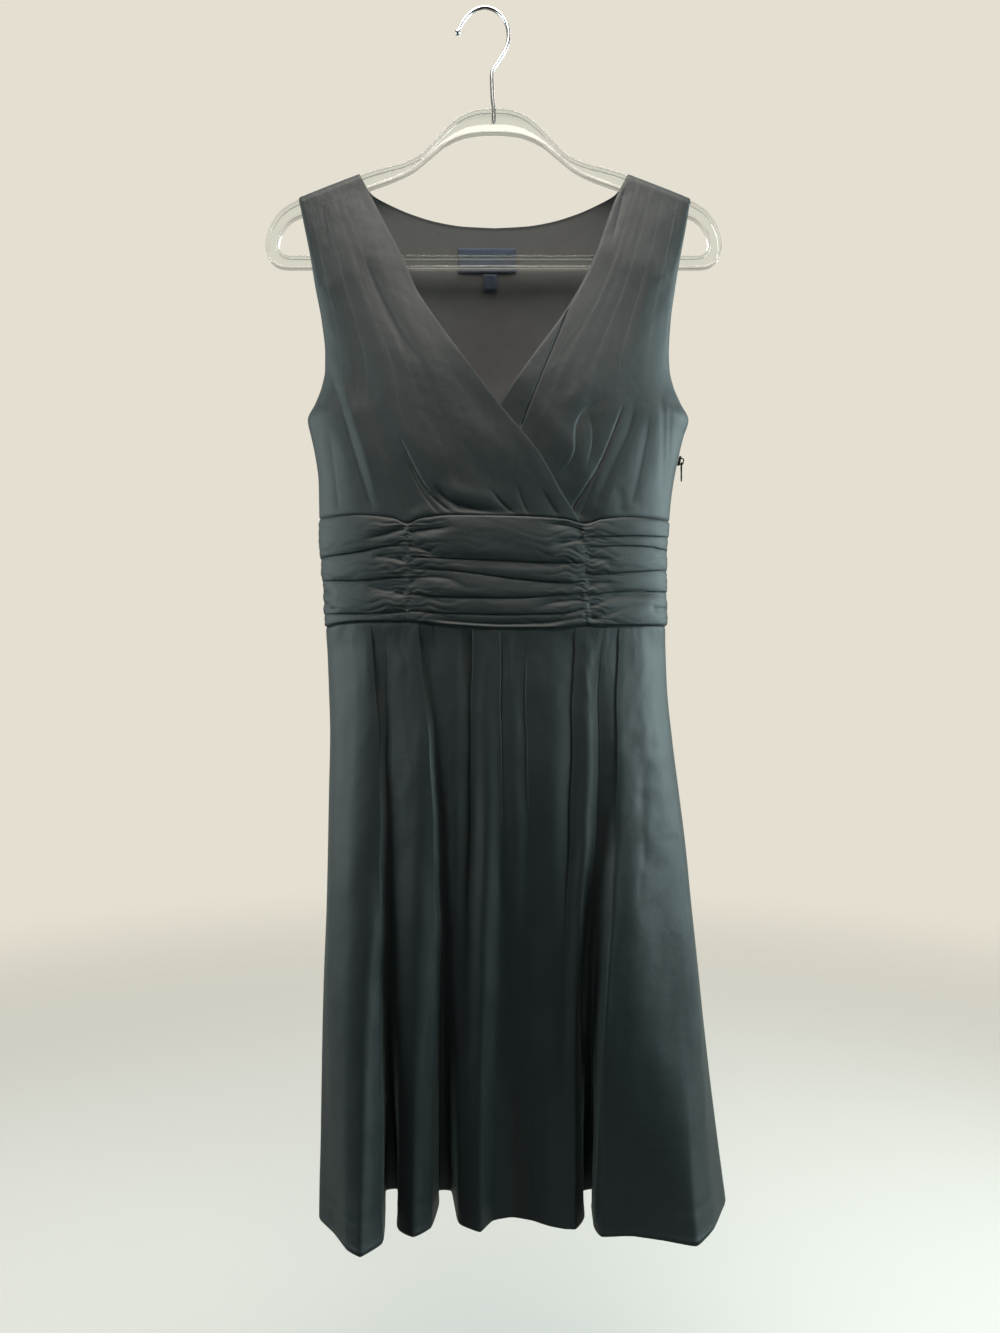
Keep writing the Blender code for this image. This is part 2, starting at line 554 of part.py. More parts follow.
def build_bodice(satin, collection):
    """The two crossover fronts and the back."""
    top = bodice_front_grid(TOP_FRONT_EDGE, -1, 16, 16, FOLDS_TOP_FRONT, no_lap)
    cloth_sheet("bodice_front_right", top, satin, collection)
    under = bodice_front_grid(UNDER_FRONT_EDGE, 1, 16, 14, FOLDS_UNDER_FRONT, under_lap)
    cloth_sheet("bodice_front_left", under, satin, collection)
    cloth_sheet("bodice_back", bodice_back_grid(11, 7), satin, collection)


# ================================================================ waistband
def ruche_depth(ruches, part, down):
    """How far the valleys of the ruching push a band panel in."""
    depth = 0.0
    for ruche in ruches:
        middle = lerp(ruche.start, ruche.end, part)
        middle -= 0.02 * math.sin(math.pi * part)
        depth += ruche.depth * bell(down - middle, ruche.width)
    return depth * ramp(down / RUCHE_EASE) * ramp((1 - down) / RUCHE_EASE)


def band_point(x, part, down, ruches, face):
    """Outer point of a band panel on the front (-1) or the back (1)."""
    if face < 0:
        top, bottom = band_drop(x, "top_drop"), band_drop(x, "bottom_drop")
    else:
        top, bottom = BACK_BAND_TOP, BACK_BAND_BOTTOM
    drop = lerp(top, bottom, down)
    level = front_y(x, drop) if face < 0 else back_y(x, drop)
    free = ramp((1 - abs(across(x, drop))) / RUCHE_SIDE_EASE)
    puff = BAND_PUFF * math.sin(math.pi * part) * math.sin(math.pi * down) * free
    pushed = ruche_depth(ruches, part, down) * free
    return (x, level + face * (puff - pushed), -drop)


def band_front_grid(start_x, end_x, columns, rows, ruches):
    """Outer points of a front panel between two x positions (None is the side seam)."""
    grid = np.zeros((rows, columns, 3))
    for row, down in enumerate(np.linspace(0.0, 1.0, rows)):
        drop = lerp(band_drop(0.0, "top_drop"), band_drop(0.0, "bottom_drop"), down)
        left, right = outline(drop)
        for column, part in enumerate(np.linspace(0.0, 1.0, columns)):
            spread = part
            if start_x is None:
                spread = 1 - math.cos(part * math.pi / 2)
            elif end_x is None:
                spread = math.sin(part * math.pi / 2)
            x = lerp(left if start_x is None else start_x, right if end_x is None else end_x,
                     spread)
            grid[row, column] = band_point(x, spread, down, ruches, -1)
    grid = with_lip(with_lip(grid, "top", (0, 0, -1)), "bottom", (0, 0, 1))
    if start_x is None:
        grid[:, 0, 1] -= SEAM_GAP / 2
        grid = with_lip(grid, "start", (0, -1, 0))
    if end_x is None:
        grid[:, -1, 1] -= SEAM_GAP / 2
        grid = with_lip(grid, "end", (0, -1, 0))
    return grid


def band_back_grid(columns, rows):
    """Outer points of the back band, from +X to -X."""
    grid = np.zeros((rows, columns, 3))
    for row, down in enumerate(np.linspace(0.0, 1.0, rows)):
        drop = lerp(band_drop(0.0, "top_drop"), band_drop(0.0, "bottom_drop"), down)
        left, right = outline(drop)
        for column, part in enumerate(np.linspace(0.0, 1.0, columns)):
            spread = (1 - math.cos(part * math.pi)) / 2
            x = lerp(right, left, spread)
            grid[row, column] = band_point(x, spread, down, RUCHES_BACK, 1)
    grid[:, (0, -1), 1] += SEAM_GAP / 2
    for edge, direction in (("top", (0, 0, -1)), ("bottom", (0, 0, 1)),
                            ("start", (0, 1, 0)), ("end", (0, 1, 0))):
        grid = with_lip(grid, edge, direction)
    return grid


def build_waistband(satin, collection):
    """Three ruched panels in front and one behind."""
    gap = SEAM_GAP * 0.6
    centre = band_front_grid(GATHER_LEFT_X + gap, GATHER_RIGHT_X - gap, 11, 19, RUCHES_CENTRE)
    cloth_sheet("waistband_front_centre", centre, satin, collection)
    right = band_front_grid(None, GATHER_LEFT_X - gap, 8, 17, RUCHES_RIGHT)
    cloth_sheet("waistband_front_right", right, satin, collection)
    left = band_front_grid(GATHER_RIGHT_X + gap, None, 8, 17, RUCHES_LEFT)
    cloth_sheet("waistband_front_left", left, satin, collection)
    cloth_sheet("waistband_back", band_back_grid(17, 17), satin, collection)


# ================================================================ skirt
def pleat_point(pleat, drop):
    """Place of one pleat line at a height."""
    table = [PleatPlace(PLEAT_DROPS[k], pleat[1 + 2 * k], pleat[2 + 2 * k]) for k in range(4)]
    return smooth(table, "drop", ("x", "y"), drop)


def skirt_front_section(drop, samples):
    """Section of the skirt's front at a height, from side seam to side seam."""
    lines = np.array([pleat_point(pleat, drop) for pleat in PLEATS])
    left, right = outline(drop)
    seam_left, seam_right = lines[0, 0], lines[-1, 0]
    lines[:, 0] = left + (lines[:, 0] - seam_left) * (right - left) / (seam_right - seam_left)
    seams = smooth(SKIRT_FORM, "drop", ("left_seam", "right_seam"), drop)
    lines[0, 1], lines[-1, 1] = seams
    opened = ramp((drop - WAIST_DROP) / PLEAT_OPENING)
    if opened < 1.0:
        flat = np.array([front_y(x, WAIST_DROP) for x in lines[:, 0]])
        lines[:, 1] = lerp(flat, lines[:, 1], opened)
    slopes = np.gradient(lines, axis=0)
    section = []
    for i in range(len(lines) - 1):
        for k in range(samples):
            u = k / samples
            section.append((1 + 2 * u) * (1 - u) ** 2 * lines[i] + u * (1 - u) ** 2 * slopes[i]
                           + u * u * (3 - 2 * u) * lines[i + 1]
                           + u * u * (u - 1) * slopes[i + 1])
    section.append(lines[-1])
    return np.array(section)


def skirt_rows(count):
    """Heights down the skirt, closer together where the pleats open."""
    return [(k / (count - 1)) ** 1.25 for k in range(count)]


def skirt_front_grid(count, samples):
    """Outer points of the skirt's front, from -X to +X."""
    waist = skirt_front_section(WAIST_DROP, samples)
    tops = [band_drop(x, "bottom_drop") + WAIST_GAP for x in waist[:, 0]]
    grid = np.zeros((count, len(waist), 3))
    for row, down in enumerate(skirt_rows(count)):
        section = skirt_front_section(lerp(WAIST_DROP, HEM_DROP, down), samples)
        for column, (x, y) in enumerate(section):
            grid[row, column] = (x, y, -lerp(tops[column], HEM_DROP, down))
    grid[:, (0, -1), 1] -= SEAM_GAP / 2
    for edge, direction in (("top", (0, 0, -1)), ("start", (0, -1, 0)), ("end", (0, -1, 0))):
        grid = with_lip(grid, edge, direction)
    return grid


def skirt_back_y(u, drop):
    """Outer face of the skirt's back at a part u of its half width."""
    left_seam, right_seam, back = smooth(SKIRT_FORM, "drop",
                                         ("left_seam", "right_seam", "back"), drop)
    down = (drop - WAIST_DROP) / (HEM_DROP - WAIST_DROP)
    power = lerp(ROUNDNESS, SKIRT_BACK_ROUNDNESS, ramp(down * 4))
    seam = left_seam if u < 0 else right_seam
    y = seam + (back - seam) * oval(u, power)
    for pleat in BACK_PLEATS:
        middle = lerp(pleat.waist, pleat.hem, down)
        opened = ramp(down * 9.0) * lerp(BACK_PLEAT_START, 1.0, down)
        y -= pleat.depth * opened * bell(u - middle, pleat.width)
    return y


def skirt_back_grid(count, columns):
    """Outer points of the skirt's back, from +X to -X."""
    grid = np.zeros((count, columns, 3))
    for row, down in enumerate(skirt_rows(count)):
        drop = lerp(WAIST_DROP, HEM_DROP, down)
        left, right = outline(drop)
        for column, part in enumerate(np.linspace(0.0, 1.0, columns)):
            inner = (part - BACK_EDGE_PART) / (1 - 2 * BACK_EDGE_PART)
            u = math.cos(part * math.pi)
            if 0.0 <= inner <= 1.0:
                u = lerp(BACK_EDGE_U, -BACK_EDGE_U, inner)
            x = (left + right) / 2 + (right - left) / 2 * u
            top = BACK_BAND_BOTTOM + WAIST_GAP
            grid[row, column] = (x, skirt_back_y(u, drop), -lerp(top, HEM_DROP, down))
    grid[:, (0, -1), 1] += SEAM_GAP / 2
    for edge, direction in (("top", (0, 0, -1)), ("start", (0, 1, 0)), ("end", (0, 1, 0))):
        grid = with_lip(grid, edge, direction)
    return grid


def build_skirt(satin, collection):
    """Front and back panels of the skirt."""
    cloth_sheet("skirt_front", skirt_front_grid(12, 2), satin, collection)
    cloth_sheet("skirt_back", skirt_back_grid(11, 33), satin, collection)


# ================================================================ labels
def label_grid(middle_x, top_drop, width, height, columns, rows):
    """Points inside the back bodice, moved off its inner face."""
    grid = np.zeros((rows, columns, 3))
    for row, down in enumerate(np.linspace(0.0, 1.0, rows)):
        drop = top_drop + height * down
        for column, part in enumerate(np.linspace(-0.5, 0.5, columns)):
            x = middle_x + width * part
            grid[row, column] = (x, back_y(x, drop) - CLOTH_WALL - SEAM_GAP - LABEL_WALL, -drop)
    return grid


def build_labels(woven, collection):
    """The bare neck label and the small tab under it."""
    label = label_grid(LABEL_X, LABEL_DROP, LABEL_WIDTH, LABEL_HEIGHT, 9, 4)
    cloth_sheet("neck_label", label, woven, collection, LABEL_WALL)
    tab = label_grid(TAB_X, TAB_DROP, TAB_WIDTH, TAB_HEIGHT, 4, 4)
    cloth_sheet("size_tab", tab, woven, collection, LABEL_WALL)


# ================================================================ hanger
def arm_top(from_centre):
    """Top of the arm, just under the cloth of the shoulder."""
    drop = NECK_DROP + (from_centre - NECK_HALF) * SHOULDER_SLOPE
    return HangerPoint(from_centre, drop + CLOTH_WALL + ARM_CLEARANCE)


def hanger_outlines():
    """Outer outline of the hanger's right half, downwards, and the inner one, upwards."""
    hump = spline_through(HUMP_TOP + [arm_top(118), arm_top(124)], 18).tolist()
    loop = spline_through([arm_top(178), arm_top(184)] + LOOP_OUTER, 13).tolist()
    inner = spline_through(LOOP_INNER + HUMP_UNDER, 28).tolist()
    return hump + loop + [(193.0, BAR_BOTTOM)], inner + [(0.0, HUMP_UNDER_DROP)]


def mirrored(half):
    """Close a half outline over the other side; a point on the middle is used once."""
    right = [(CENTRE_X + x, drop) for x, drop in half]
    left = [(CENTRE_X - x, drop) for x, drop in reversed(half) if x > 0.0]
    return right + left


def build_hanger(clear, collection, cutters):
    """The clear plastic frame, bored for the hook's stem."""
    curve = bpy.data.curves.new("hanger_outline", "CURVE")
    curve.dimensions = "2D"
    curve.fill_mode = "BOTH"
    curve.extrude = (HANGER_THICKNESS / 2 - HANGER_ROUNDING) * MM
    curve.bevel_depth = HANGER_ROUNDING * MM
    curve.bevel_resolution = 1
    curve.offset = -HANGER_ROUNDING * MM
    for half in hanger_outlines():
        outline_points = mirrored(half)
        spline = curve.splines.new("POLY")
        spline.points.add(len(outline_points) - 1)
        for point, (x, drop) in zip(spline.points, outline_points):
            point.co = (x * MM, -drop * MM, 0.0, 1.0)
        spline.use_cyclic_u = True
    source = bpy.data.objects.new("hanger_outline", curve)
    collection.objects.link(source)
    source.rotation_euler = (math.radians(90), 0.0, 0.0)
    bpy.context.view_layer.update()
    evaluated = source.evaluated_get(bpy.context.evaluated_depsgraph_get())
    mesh = bpy.data.meshes.new_from_object(evaluated)
    mesh.transform(source.matrix_world)
    shell = bmesh.new()
    shell.from_mesh(mesh)
    bmesh.ops.remove_doubles(shell, verts=shell.verts, dist=0.0001)
    shell.to_mesh(mesh)
    shell.free()
    bpy.data.objects.remove(source, do_unlink=True)
    mesh.name = "hanger_body"
    body = add_object("hanger_body", mesh, clear, collection)

    bore_bottom = STEM_END_DROP + BORE_BELOW_STEM
    bore_top = HUMP_TOP[0].drop - BORE_ABOVE_HUMP
    bpy.ops.mesh.primitive_cylinder_add(
        vertices=16, radius=(WIRE_RADIUS + SEAM_GAP) * MM, depth=(bore_bottom - bore_top) * MM,
        location=(CENTRE_X * MM, 0.0, -(bore_bottom + bore_top) / 2 * MM))
    cutter = bpy.context.object
    cutter.name = "stem_bore"
    for owner in list(cutter.users_collection):
        owner.objects.unlink(cutter)
    cutters.objects.link(cutter)
    cutter.hide_render = True
    cutter.display_type = "WIRE"
    bore = body.modifiers.new("stem_bore", "BOOLEAN")
    bore.operation = "DIFFERENCE"
    bore.object = cutter


def build_hook(chrome, collection):
    """The bent wire, thicker at its ball tip."""
    bend = spline_through([(point.x, point.drop) for point in HOOK_BEND], 34).tolist()
    path = bend + [(7.0, 84.0), (CENTRE_X, 93.5), (CENTRE_X, STEM_END_DROP)]
    curve = bpy.data.curves.new("hanger_hook", "CURVE")
    curve.dimensions = "3D"
    curve.bevel_depth = WIRE_RADIUS * MM
    curve.bevel_resolution = 2
    curve.use_fill_caps = True
    spline = curve.splines.new("POLY")
    spline.points.add(len(path) - 1)
    for index, (point, (x, drop)) in enumerate(zip(spline.points, path)):
        point.co = (x * MM, 0.0, -drop * MM, 1.0)
        if index < 2:
            point.radius = WIRE_TIP_RADIUS / WIRE_RADIUS
    add_object("hanger_hook", curve, chrome, collection)


# ================================================================ zip
def slider_frame():
    """Placement of the slider: its face looks out of the side seam at +X."""
    half = SLIDER_LENGTH / 2
    above, below = outline(ZIP_DROP - half)[1], outline(ZIP_DROP + half)[1]
    lean = math.atan2(above - below, SLIDER_LENGTH)
    seat = Vector((outline(ZIP_DROP)[1] + SLIDER_SEAT, FORM[-1].front_edge, -ZIP_DROP)) * MM
    return Matrix.Translation(seat) @ Matrix.Rotation(lean, 4, "Y")


def build_slider(metal, collection, cutters):
    """Slider body with the bail that carries the pull."""
    frame = slider_frame()
    bpy.ops.mesh.primitive_cube_add(size=1.0)
    body = bpy.context.object
    body.name = "zip_slider"
    body.data.name = "zip_slider"
    body.data.transform(Matrix.Diagonal((SLIDER_THICKNESS * MM, SLIDER_WIDTH * MM,
                                         SLIDER_LENGTH * MM, 1.0)))
    body.data.transform(Matrix.Translation((SLIDER_THICKNESS / 2 * MM, 0.0, 0.0)))
    body.data.materials.append(metal)
    body.matrix_world = frame
    for owner in list(body.users_collection):
        owner.objects.unlink(body)
    collection.objects.link(body)
    rounding = body.modifiers.new("rounding", "BEVEL")
    rounding.width = SLIDER_ROUNDING * MM
    rounding.segments = 1

    curve = bpy.data.curves.new("bail", "CURVE")
    curve.dimensions = "3D"
    curve.bevel_depth = BAIL_RADIUS * MM
    curve.bevel_resolution = 2
    curve.use_fill_caps = True
    spline = curve.splines.new("POLY")
    foot = SLIDER_THICKNESS - BAIL_SUNK
    top = SLIDER_THICKNESS + BAIL_HEIGHT
    shape = [(foot, -BAIL_HALF_LENGTH), (top - 0.9, -BAIL_HALF_LENGTH),
             (top - 0.25, -BAIL_HALF_LENGTH + 0.35), (top, -BAIL_HALF_LENGTH + 1.1),
             (top, BAIL_HALF_LENGTH - 1.1), (top - 0.25, BAIL_HALF_LENGTH - 0.35),
             (top - 0.9, BAIL_HALF_LENGTH), (foot, BAIL_HALF_LENGTH)]
    spline.points.add(len(shape) - 1)
    for point, (out, up) in zip(spline.points, shape):
        point.co = (out * MM, 0.0, up * MM, 1.0)
    source = bpy.data.objects.new("bail", curve)
    cutters.objects.link(source)
    bpy.context.view_layer.update()
    evaluated = source.evaluated_get(bpy.context.evaluated_depsgraph_get())
    mesh = bpy.data.meshes.new_from_object(evaluated)
    arch = bmesh.new()
    arch.from_mesh(mesh)
    bmesh.ops.remove_doubles(arch, verts=arch.verts, dist=0.00001)
    arch.to_mesh(mesh)
    arch.free()
    bpy.data.objects.remove(source, do_unlink=True)
    bail = bpy.data.objects.new("bail", mesh)
    cutters.objects.link(bail)
    bail.matrix_world = frame
    bail.hide_render = True
    bail.display_type = "WIRE"
    union = body.modifiers.new("bail", "BOOLEAN")
    union.operation = "UNION"
    union.object = bail


def build_pull(metal, collection):
    """Teardrop pull whose eye hangs in the bail; its origin lies on the hinge axis."""
    out = SLIDER_THICKNESS + PULL_AXIS_HEIGHT
    axis = slider_frame() @ (Vector((out, 0.0, -PULL_AXIS_BELOW_CENTRE)) * MM)
    hinge = bpy.data.objects.new("pull_hinge", None)
    collection.objects.link(hinge)
    hinge.location = axis
    half_bar = PULL_THICKNESS / 2
    curve = bpy.data.curves.new("zip_pull", "CURVE")
    curve.dimensions = "2D"
    curve.fill_mode = "BOTH"
    curve.extrude = half_bar * MM
    side = PULL_WIDTH / 2
    right = [(side, half_bar)] + [(side * point.width, -point.down) for point in PULL_OUTLINE]
    outer = right + [(0.0, -PULL_LENGTH)] + [(-x, up) for x, up in reversed(right)]
    eye = PULL_EYE_WIDTH / 2
    hole = [(-eye, -half_bar), (eye, -half_bar), (eye, -half_bar - PULL_EYE_LENGTH),
            (-eye, -half_bar - PULL_EYE_LENGTH)]
    for shape in (outer, hole):
        spline = curve.splines.new("POLY")
        spline.points.add(len(shape) - 1)
        for point, (across_axis, up) in zip(spline.points, shape):
            point.co = (across_axis * MM, up * MM, 0.0, 1.0)
        spline.use_cyclic_u = True
    pull = add_object("zip_pull", curve, metal, collection)
    pull.parent = hinge
    pull.rotation_euler = (math.radians(90), 0.0, math.radians(90))


# ================================================================ whole part
def main():
    """Build the dress and its hanger."""
    clear_scene()
    collection = bpy.data.collections.new("cocktail_dress")
    cutters = bpy.data.collections.new("cutters")
    for group in (collection, cutters):
        bpy.context.scene.collection.children.link(group)
    satin = make_material("black_satin", (0.018, 0.022, 0.022), 0.42)
    woven = make_material("navy_label", (0.016, 0.022, 0.045), 0.8)
    clear = make_material("clear_plastic", (0.92, 0.93, 0.92), 0.06, transmission=1.0)
    chrome = make_material("chrome_wire", (0.72, 0.72, 0.72), 0.12, metallic=1.0)
    black_metal = make_material("black_zip_metal", (0.02, 0.02, 0.02), 0.35, metallic=0.6)
    build_bodice(satin, collection)
    build_waistband(satin, collection)
    build_skirt(satin, collection)
    build_labels(woven, collection)
    build_hanger(clear, collection, cutters)
    build_hook(chrome, collection)
    build_slider(black_metal, collection, cutters)
    build_pull(black_metal, collection)


main()
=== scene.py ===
"""Looks of a sleeveless satin cocktail dress that hangs from a clear clothes hanger.

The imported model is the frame: metres, +Z up, the front of the dress faces -Y and the origin is the
inside of the hook's crown.  Sizes here are in millimetres, apart from the cuts of the cloth and the
studio, which are in metres.  `drop` is how far a place lies under the origin.  Left and right in the
tables are -X and +X; in the names of the pieces they are the wearer's.
"""

from __future__ import annotations

import logging
import math
from contextlib import contextmanager
from dataclasses import dataclass
from enum import Enum
from typing import Callable, Iterable, Iterator

import bmesh
import bpy
import numpy as np
from mathutils import Matrix, Vector

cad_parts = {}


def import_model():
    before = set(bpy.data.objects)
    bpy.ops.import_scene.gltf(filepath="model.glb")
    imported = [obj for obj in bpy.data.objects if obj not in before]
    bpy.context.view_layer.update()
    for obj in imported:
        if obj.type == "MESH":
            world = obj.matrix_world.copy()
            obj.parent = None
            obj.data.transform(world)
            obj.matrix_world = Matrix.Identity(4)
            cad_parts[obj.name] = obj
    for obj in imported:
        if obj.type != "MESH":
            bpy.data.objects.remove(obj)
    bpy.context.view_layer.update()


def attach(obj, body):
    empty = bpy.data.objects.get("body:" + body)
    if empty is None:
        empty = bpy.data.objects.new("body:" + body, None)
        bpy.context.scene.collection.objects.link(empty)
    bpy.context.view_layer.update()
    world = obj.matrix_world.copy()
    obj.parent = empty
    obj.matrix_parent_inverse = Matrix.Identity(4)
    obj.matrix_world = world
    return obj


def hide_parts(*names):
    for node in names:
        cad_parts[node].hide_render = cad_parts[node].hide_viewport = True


MM = 0.001
DRESS_BODY = "dress"
PULL_BODY = "pull"

Array = np.ndarray
Rows = tuple[tuple[float, ...], ...]
Pair = tuple[float, float]
Place = tuple[float, float, float]
Piece = bpy.types.Object
Material = bpy.types.Material
Push = Callable[[Array, Array], Array]

log = logging.getLogger("cocktail_dress")


class Side(Enum):
    """Which side of the body a piece starts from."""

    MINUS_X = -1
    PLUS_X = 1


class Face(Enum):
    """Which face of the dress a piece belongs to; the value is the sign of its outward Y."""

    FRONT = -1
    BACK = 1


# ======== curves and fields
def ramp(value: Array | float) -> Array:
    """Soft step from 0 to 1."""
    value = np.clip(value, 0.0, 1.0)
    return value * value * (3.0 - 2.0 * value)


def mix(low: Array | float, high: Array | float, part: Array | float) -> Array:
    """Straight mix of two values."""
    return low + (high - low) * part


def bell(away: Array, width: float) -> Array:
    """1 at a place, falling smoothly to 0 away from it."""
    return np.exp(-(away / width) ** 2)


def smooth_run(u: Array, span: Array | float, ends: tuple[Array, Array],
               slopes: tuple[Array, Array]) -> Array:
    """Run smoothly from one value to the next.

    Args:
        u: How far along, from 0 to 1.
        span: Distance between the two keys.
        ends: The values at both keys.
        slopes: The slopes there.

    Returns:
        The values between.
    """
    return ((1 + 2 * u) * (1 - u) ** 2 * ends[0] + u * (1 - u) ** 2 * span * slopes[0]
            + u * u * (3 - 2 * u) * ends[1] + u * u * (u - 1) * span * slopes[1])


def run_lengths(points: Array) -> Array:
    """Distance of each point of a line from its start, along the line."""
    return np.concatenate([[0.0], np.cumsum(np.linalg.norm(np.diff(points, axis=0), axis=1))])


@dataclass(frozen=True)
class Track:
    """A smooth curve through rows of a key and its values, which never swings past them."""

    rows: Rows

    def __call__(self, at: Array | float, column: int = 1) -> Array:
        """Read one column at some keys.

        Args:
            at: Keys, of any shape.
            column: Which column of the rows is read.

        Returns:
            The values at those keys.
        """
        table = np.array(self.rows, float)
        keys, values = table[:, 0], table[:, column]
        rises = np.diff(values) / np.diff(keys)
        slopes = np.concatenate([rises[:1], np.zeros(len(rises) - 1), rises[-1:]])
        same_way = rises[:-1] * rises[1:] > 0
        total = np.where(same_way, rises[:-1] + rises[1:], 1.0)
        slopes[1:-1] = np.where(same_way, 2 * rises[:-1] * rises[1:] / total, 0.0)
        at = np.clip(at, keys[0], keys[-1])
        i = np.clip(np.searchsorted(keys, at) - 1, 0, len(keys) - 2)
        span = keys[i + 1] - keys[i]
        return smooth_run((at - keys[i]) / span, span, (values[i], values[i + 1]),
                          (slopes[i], slopes[i + 1]))


# How many times finer a curve is followed than it is returned.
FINER = 8


def curve_through(points: Rows | Array, count: int) -> Array:
    """Spread points evenly along a smooth curve.

    Args:
        points: The points that the curve runs through.
        count: How many points to return.

    Returns:
        The points, one in each row.
    """
    points = np.array(points, float)
    steps = np.sqrt(np.linalg.norm(np.diff(points, axis=0), axis=1))
    knots = np.concatenate([[0.0], np.cumsum(steps)])
    slopes = np.gradient(points, knots, axis=0)
    at = np.linspace(0.0, knots[-1], count * FINER)
    i = np.clip(np.searchsorted(knots, at) - 1, 0, len(knots) - 2)
    span = (knots[i + 1] - knots[i])[:, None]
    dense = smooth_run((at - knots[i])[:, None] / span, span, (points[i], points[i + 1]),
                       (slopes[i], slopes[i + 1]))
    length = run_lengths(dense)
    even = np.linspace(0.0, length[-1], count)
    return np.stack([np.interp(even, length, dense[:, k]) for k in range(points.shape[1])], axis=1)


# How many points a fold line is followed with, and how far it reaches, in widths of its trough.
LINE_POINTS, LINE_REACH = 20, 4.0
# How a grid gathers at a thin line: share of the way, width, reach, and part of the line at its ends.
GATHER_SHARE, GATHER_WIDTH, GATHER_REACH, GATHER_ENDS = 0.6, 2.2, 6.0, 0.05


@dataclass(frozen=True)
class Crease:
    """A fold line in the cloth: a trough, a raised lip on one side, a thin deep line, or all.

    The plus side of a path that runs down is +X, and of a path that runs to +X it is above.
    """

    path: Rows
    depth: float
    # Widths on the two sides of the line, and the height of the lip on the plus side.
    minus: float
    plus: float
    step: float = 0.0
    # Parts of the line over which it comes in and dies away.
    fade: Pair = (0.25, 0.25)
    # Rounding at the bottom of the trough, and depth and width of the thin line.
    sharp: float = 0.8
    cut: float = 0.0
    cut_width: float = 0.8

    def locate(self, x: Array, drop: Array) -> tuple[Array, Array, Array, Array]:
        """Where some places lie against the line.

        Args:
            x: Places across.
            drop: Places down.

        Returns:
            The steps across and down from the line, the side of it and how far along it.
        """
        line = curve_through(self.path, LINE_POINTS)
        best = np.full(x.shape, np.inf)
        away_x, away_d, side, along = (np.zeros_like(x) for _ in range(4))
        for k in range(len(line) - 1):
            run = line[k + 1] - line[k]
            t = np.clip(((x - line[k, 0]) * run[0] + (drop - line[k, 1]) * run[1]) / (run @ run),
                        0.0, 1.0)
            off_x, off_d = x - line[k, 0] - t * run[0], drop - line[k, 1] - t * run[1]
            closer = off_x ** 2 + off_d ** 2 < best
            best = np.where(closer, off_x ** 2 + off_d ** 2, best)
            away_x, away_d = np.where(closer, off_x, away_x), np.where(closer, off_d, away_d)
            side = np.where(closer, np.sign(off_x * run[1] - off_d * run[0]), side)
            along = np.where(closer, (k + t) / (len(line) - 1), along)
        return away_x, away_d, side, along

    def near(self, x: Array, drop: Array, reach: float) -> Array:
        """Which places lie within a reach of the line's bounds."""
        line = np.array(self.path, float)
        return ((x > line[:, 0].min() - reach) & (x < line[:, 0].max() + reach)
                & (drop > line[:, 1].min() - reach) & (drop < line[:, 1].max() + reach))

    def gather_points(self, x: Array, drop: Array, free: Array) -> None:
        """Draw grid places closer to a thin line, so that it comes out crisp.

        Args:
            x: Places across, changed in place.
            drop: Places down, changed in place.
            free: How freely each place may move.
        """
        if self.cut <= 0.0:
            return
        near = self.near(x, drop, GATHER_REACH)
        away_x, away_d, _, along = self.locate(x[near], drop[near])
        pull = GATHER_SHARE * np.exp(-(away_x ** 2 + away_d ** 2) / GATHER_WIDTH ** 2) * free[near]
        pull = pull * ramp(along / GATHER_ENDS) * ramp((1.0 - along) / GATHER_ENDS)
        x[near] -= pull * away_x
        drop[near] -= pull * away_d

    def push(self, x: Array, drop: Array) -> Array:
        """How far the cloth stands out at some places because of this fold.

        Args:
            x: Places across.
            drop: Places down.

        Returns:
            Millimetres outwards, of the same shape.
        """
        near = self.near(x, drop, LINE_REACH * max(self.minus, self.plus))
        out = np.zeros_like(x)
        away_x, away_d, side, along = self.locate(x[near], drop[near])
        away = np.hypot(away_x, away_d)
        width = np.where(side > 0, self.plus, self.minus)
        soft = np.sqrt(away ** 2 + self.sharp ** 2) - self.sharp
        trough = np.exp(-(soft / width) ** 1.5)
        lip = side * np.tanh(away / self.sharp) * np.exp(-away / width)
        thin = self.cut * bell(away, self.cut_width)
        kept = ramp(along / self.fade[0]) * ramp((1.0 - along) / self.fade[1])
        out[near] = (self.step * lip - self.depth * trough - thin) * kept
        return out


@dataclass(frozen=True)
class Crumple:
    """Soft uneven swells in the cloth, of one size and direction, with weaker smaller ones on them."""

    seed: int
    across: float
    down: float
    height: float
    # Direction, in degrees.
    turn: float = 0.0
    smaller: float = 2.1
    weaker: float = 0.4

    def push(self, x: Array, drop: Array) -> Array:
        """How far the cloth stands out at some places.

        Args:
            x: Places across.
            drop: Places down.

        Returns:
            Millimetres outwards, of the same shape.
        """
        turn = math.radians(self.turn)
        u = (x * math.cos(turn) + drop * math.sin(turn)) / self.across
        v = (drop * math.cos(turn) - x * math.sin(turn)) / self.down
        small = swell(u * self.smaller, v * self.smaller, self.seed + 1)
        return self.height * (swell(u, v, self.seed) + self.weaker * small)


# The pattern of swells repeats after this many, and the gain brings it to about -1 to 1.
SWELL_GRID, SWELL_GAIN = 64, 1.6


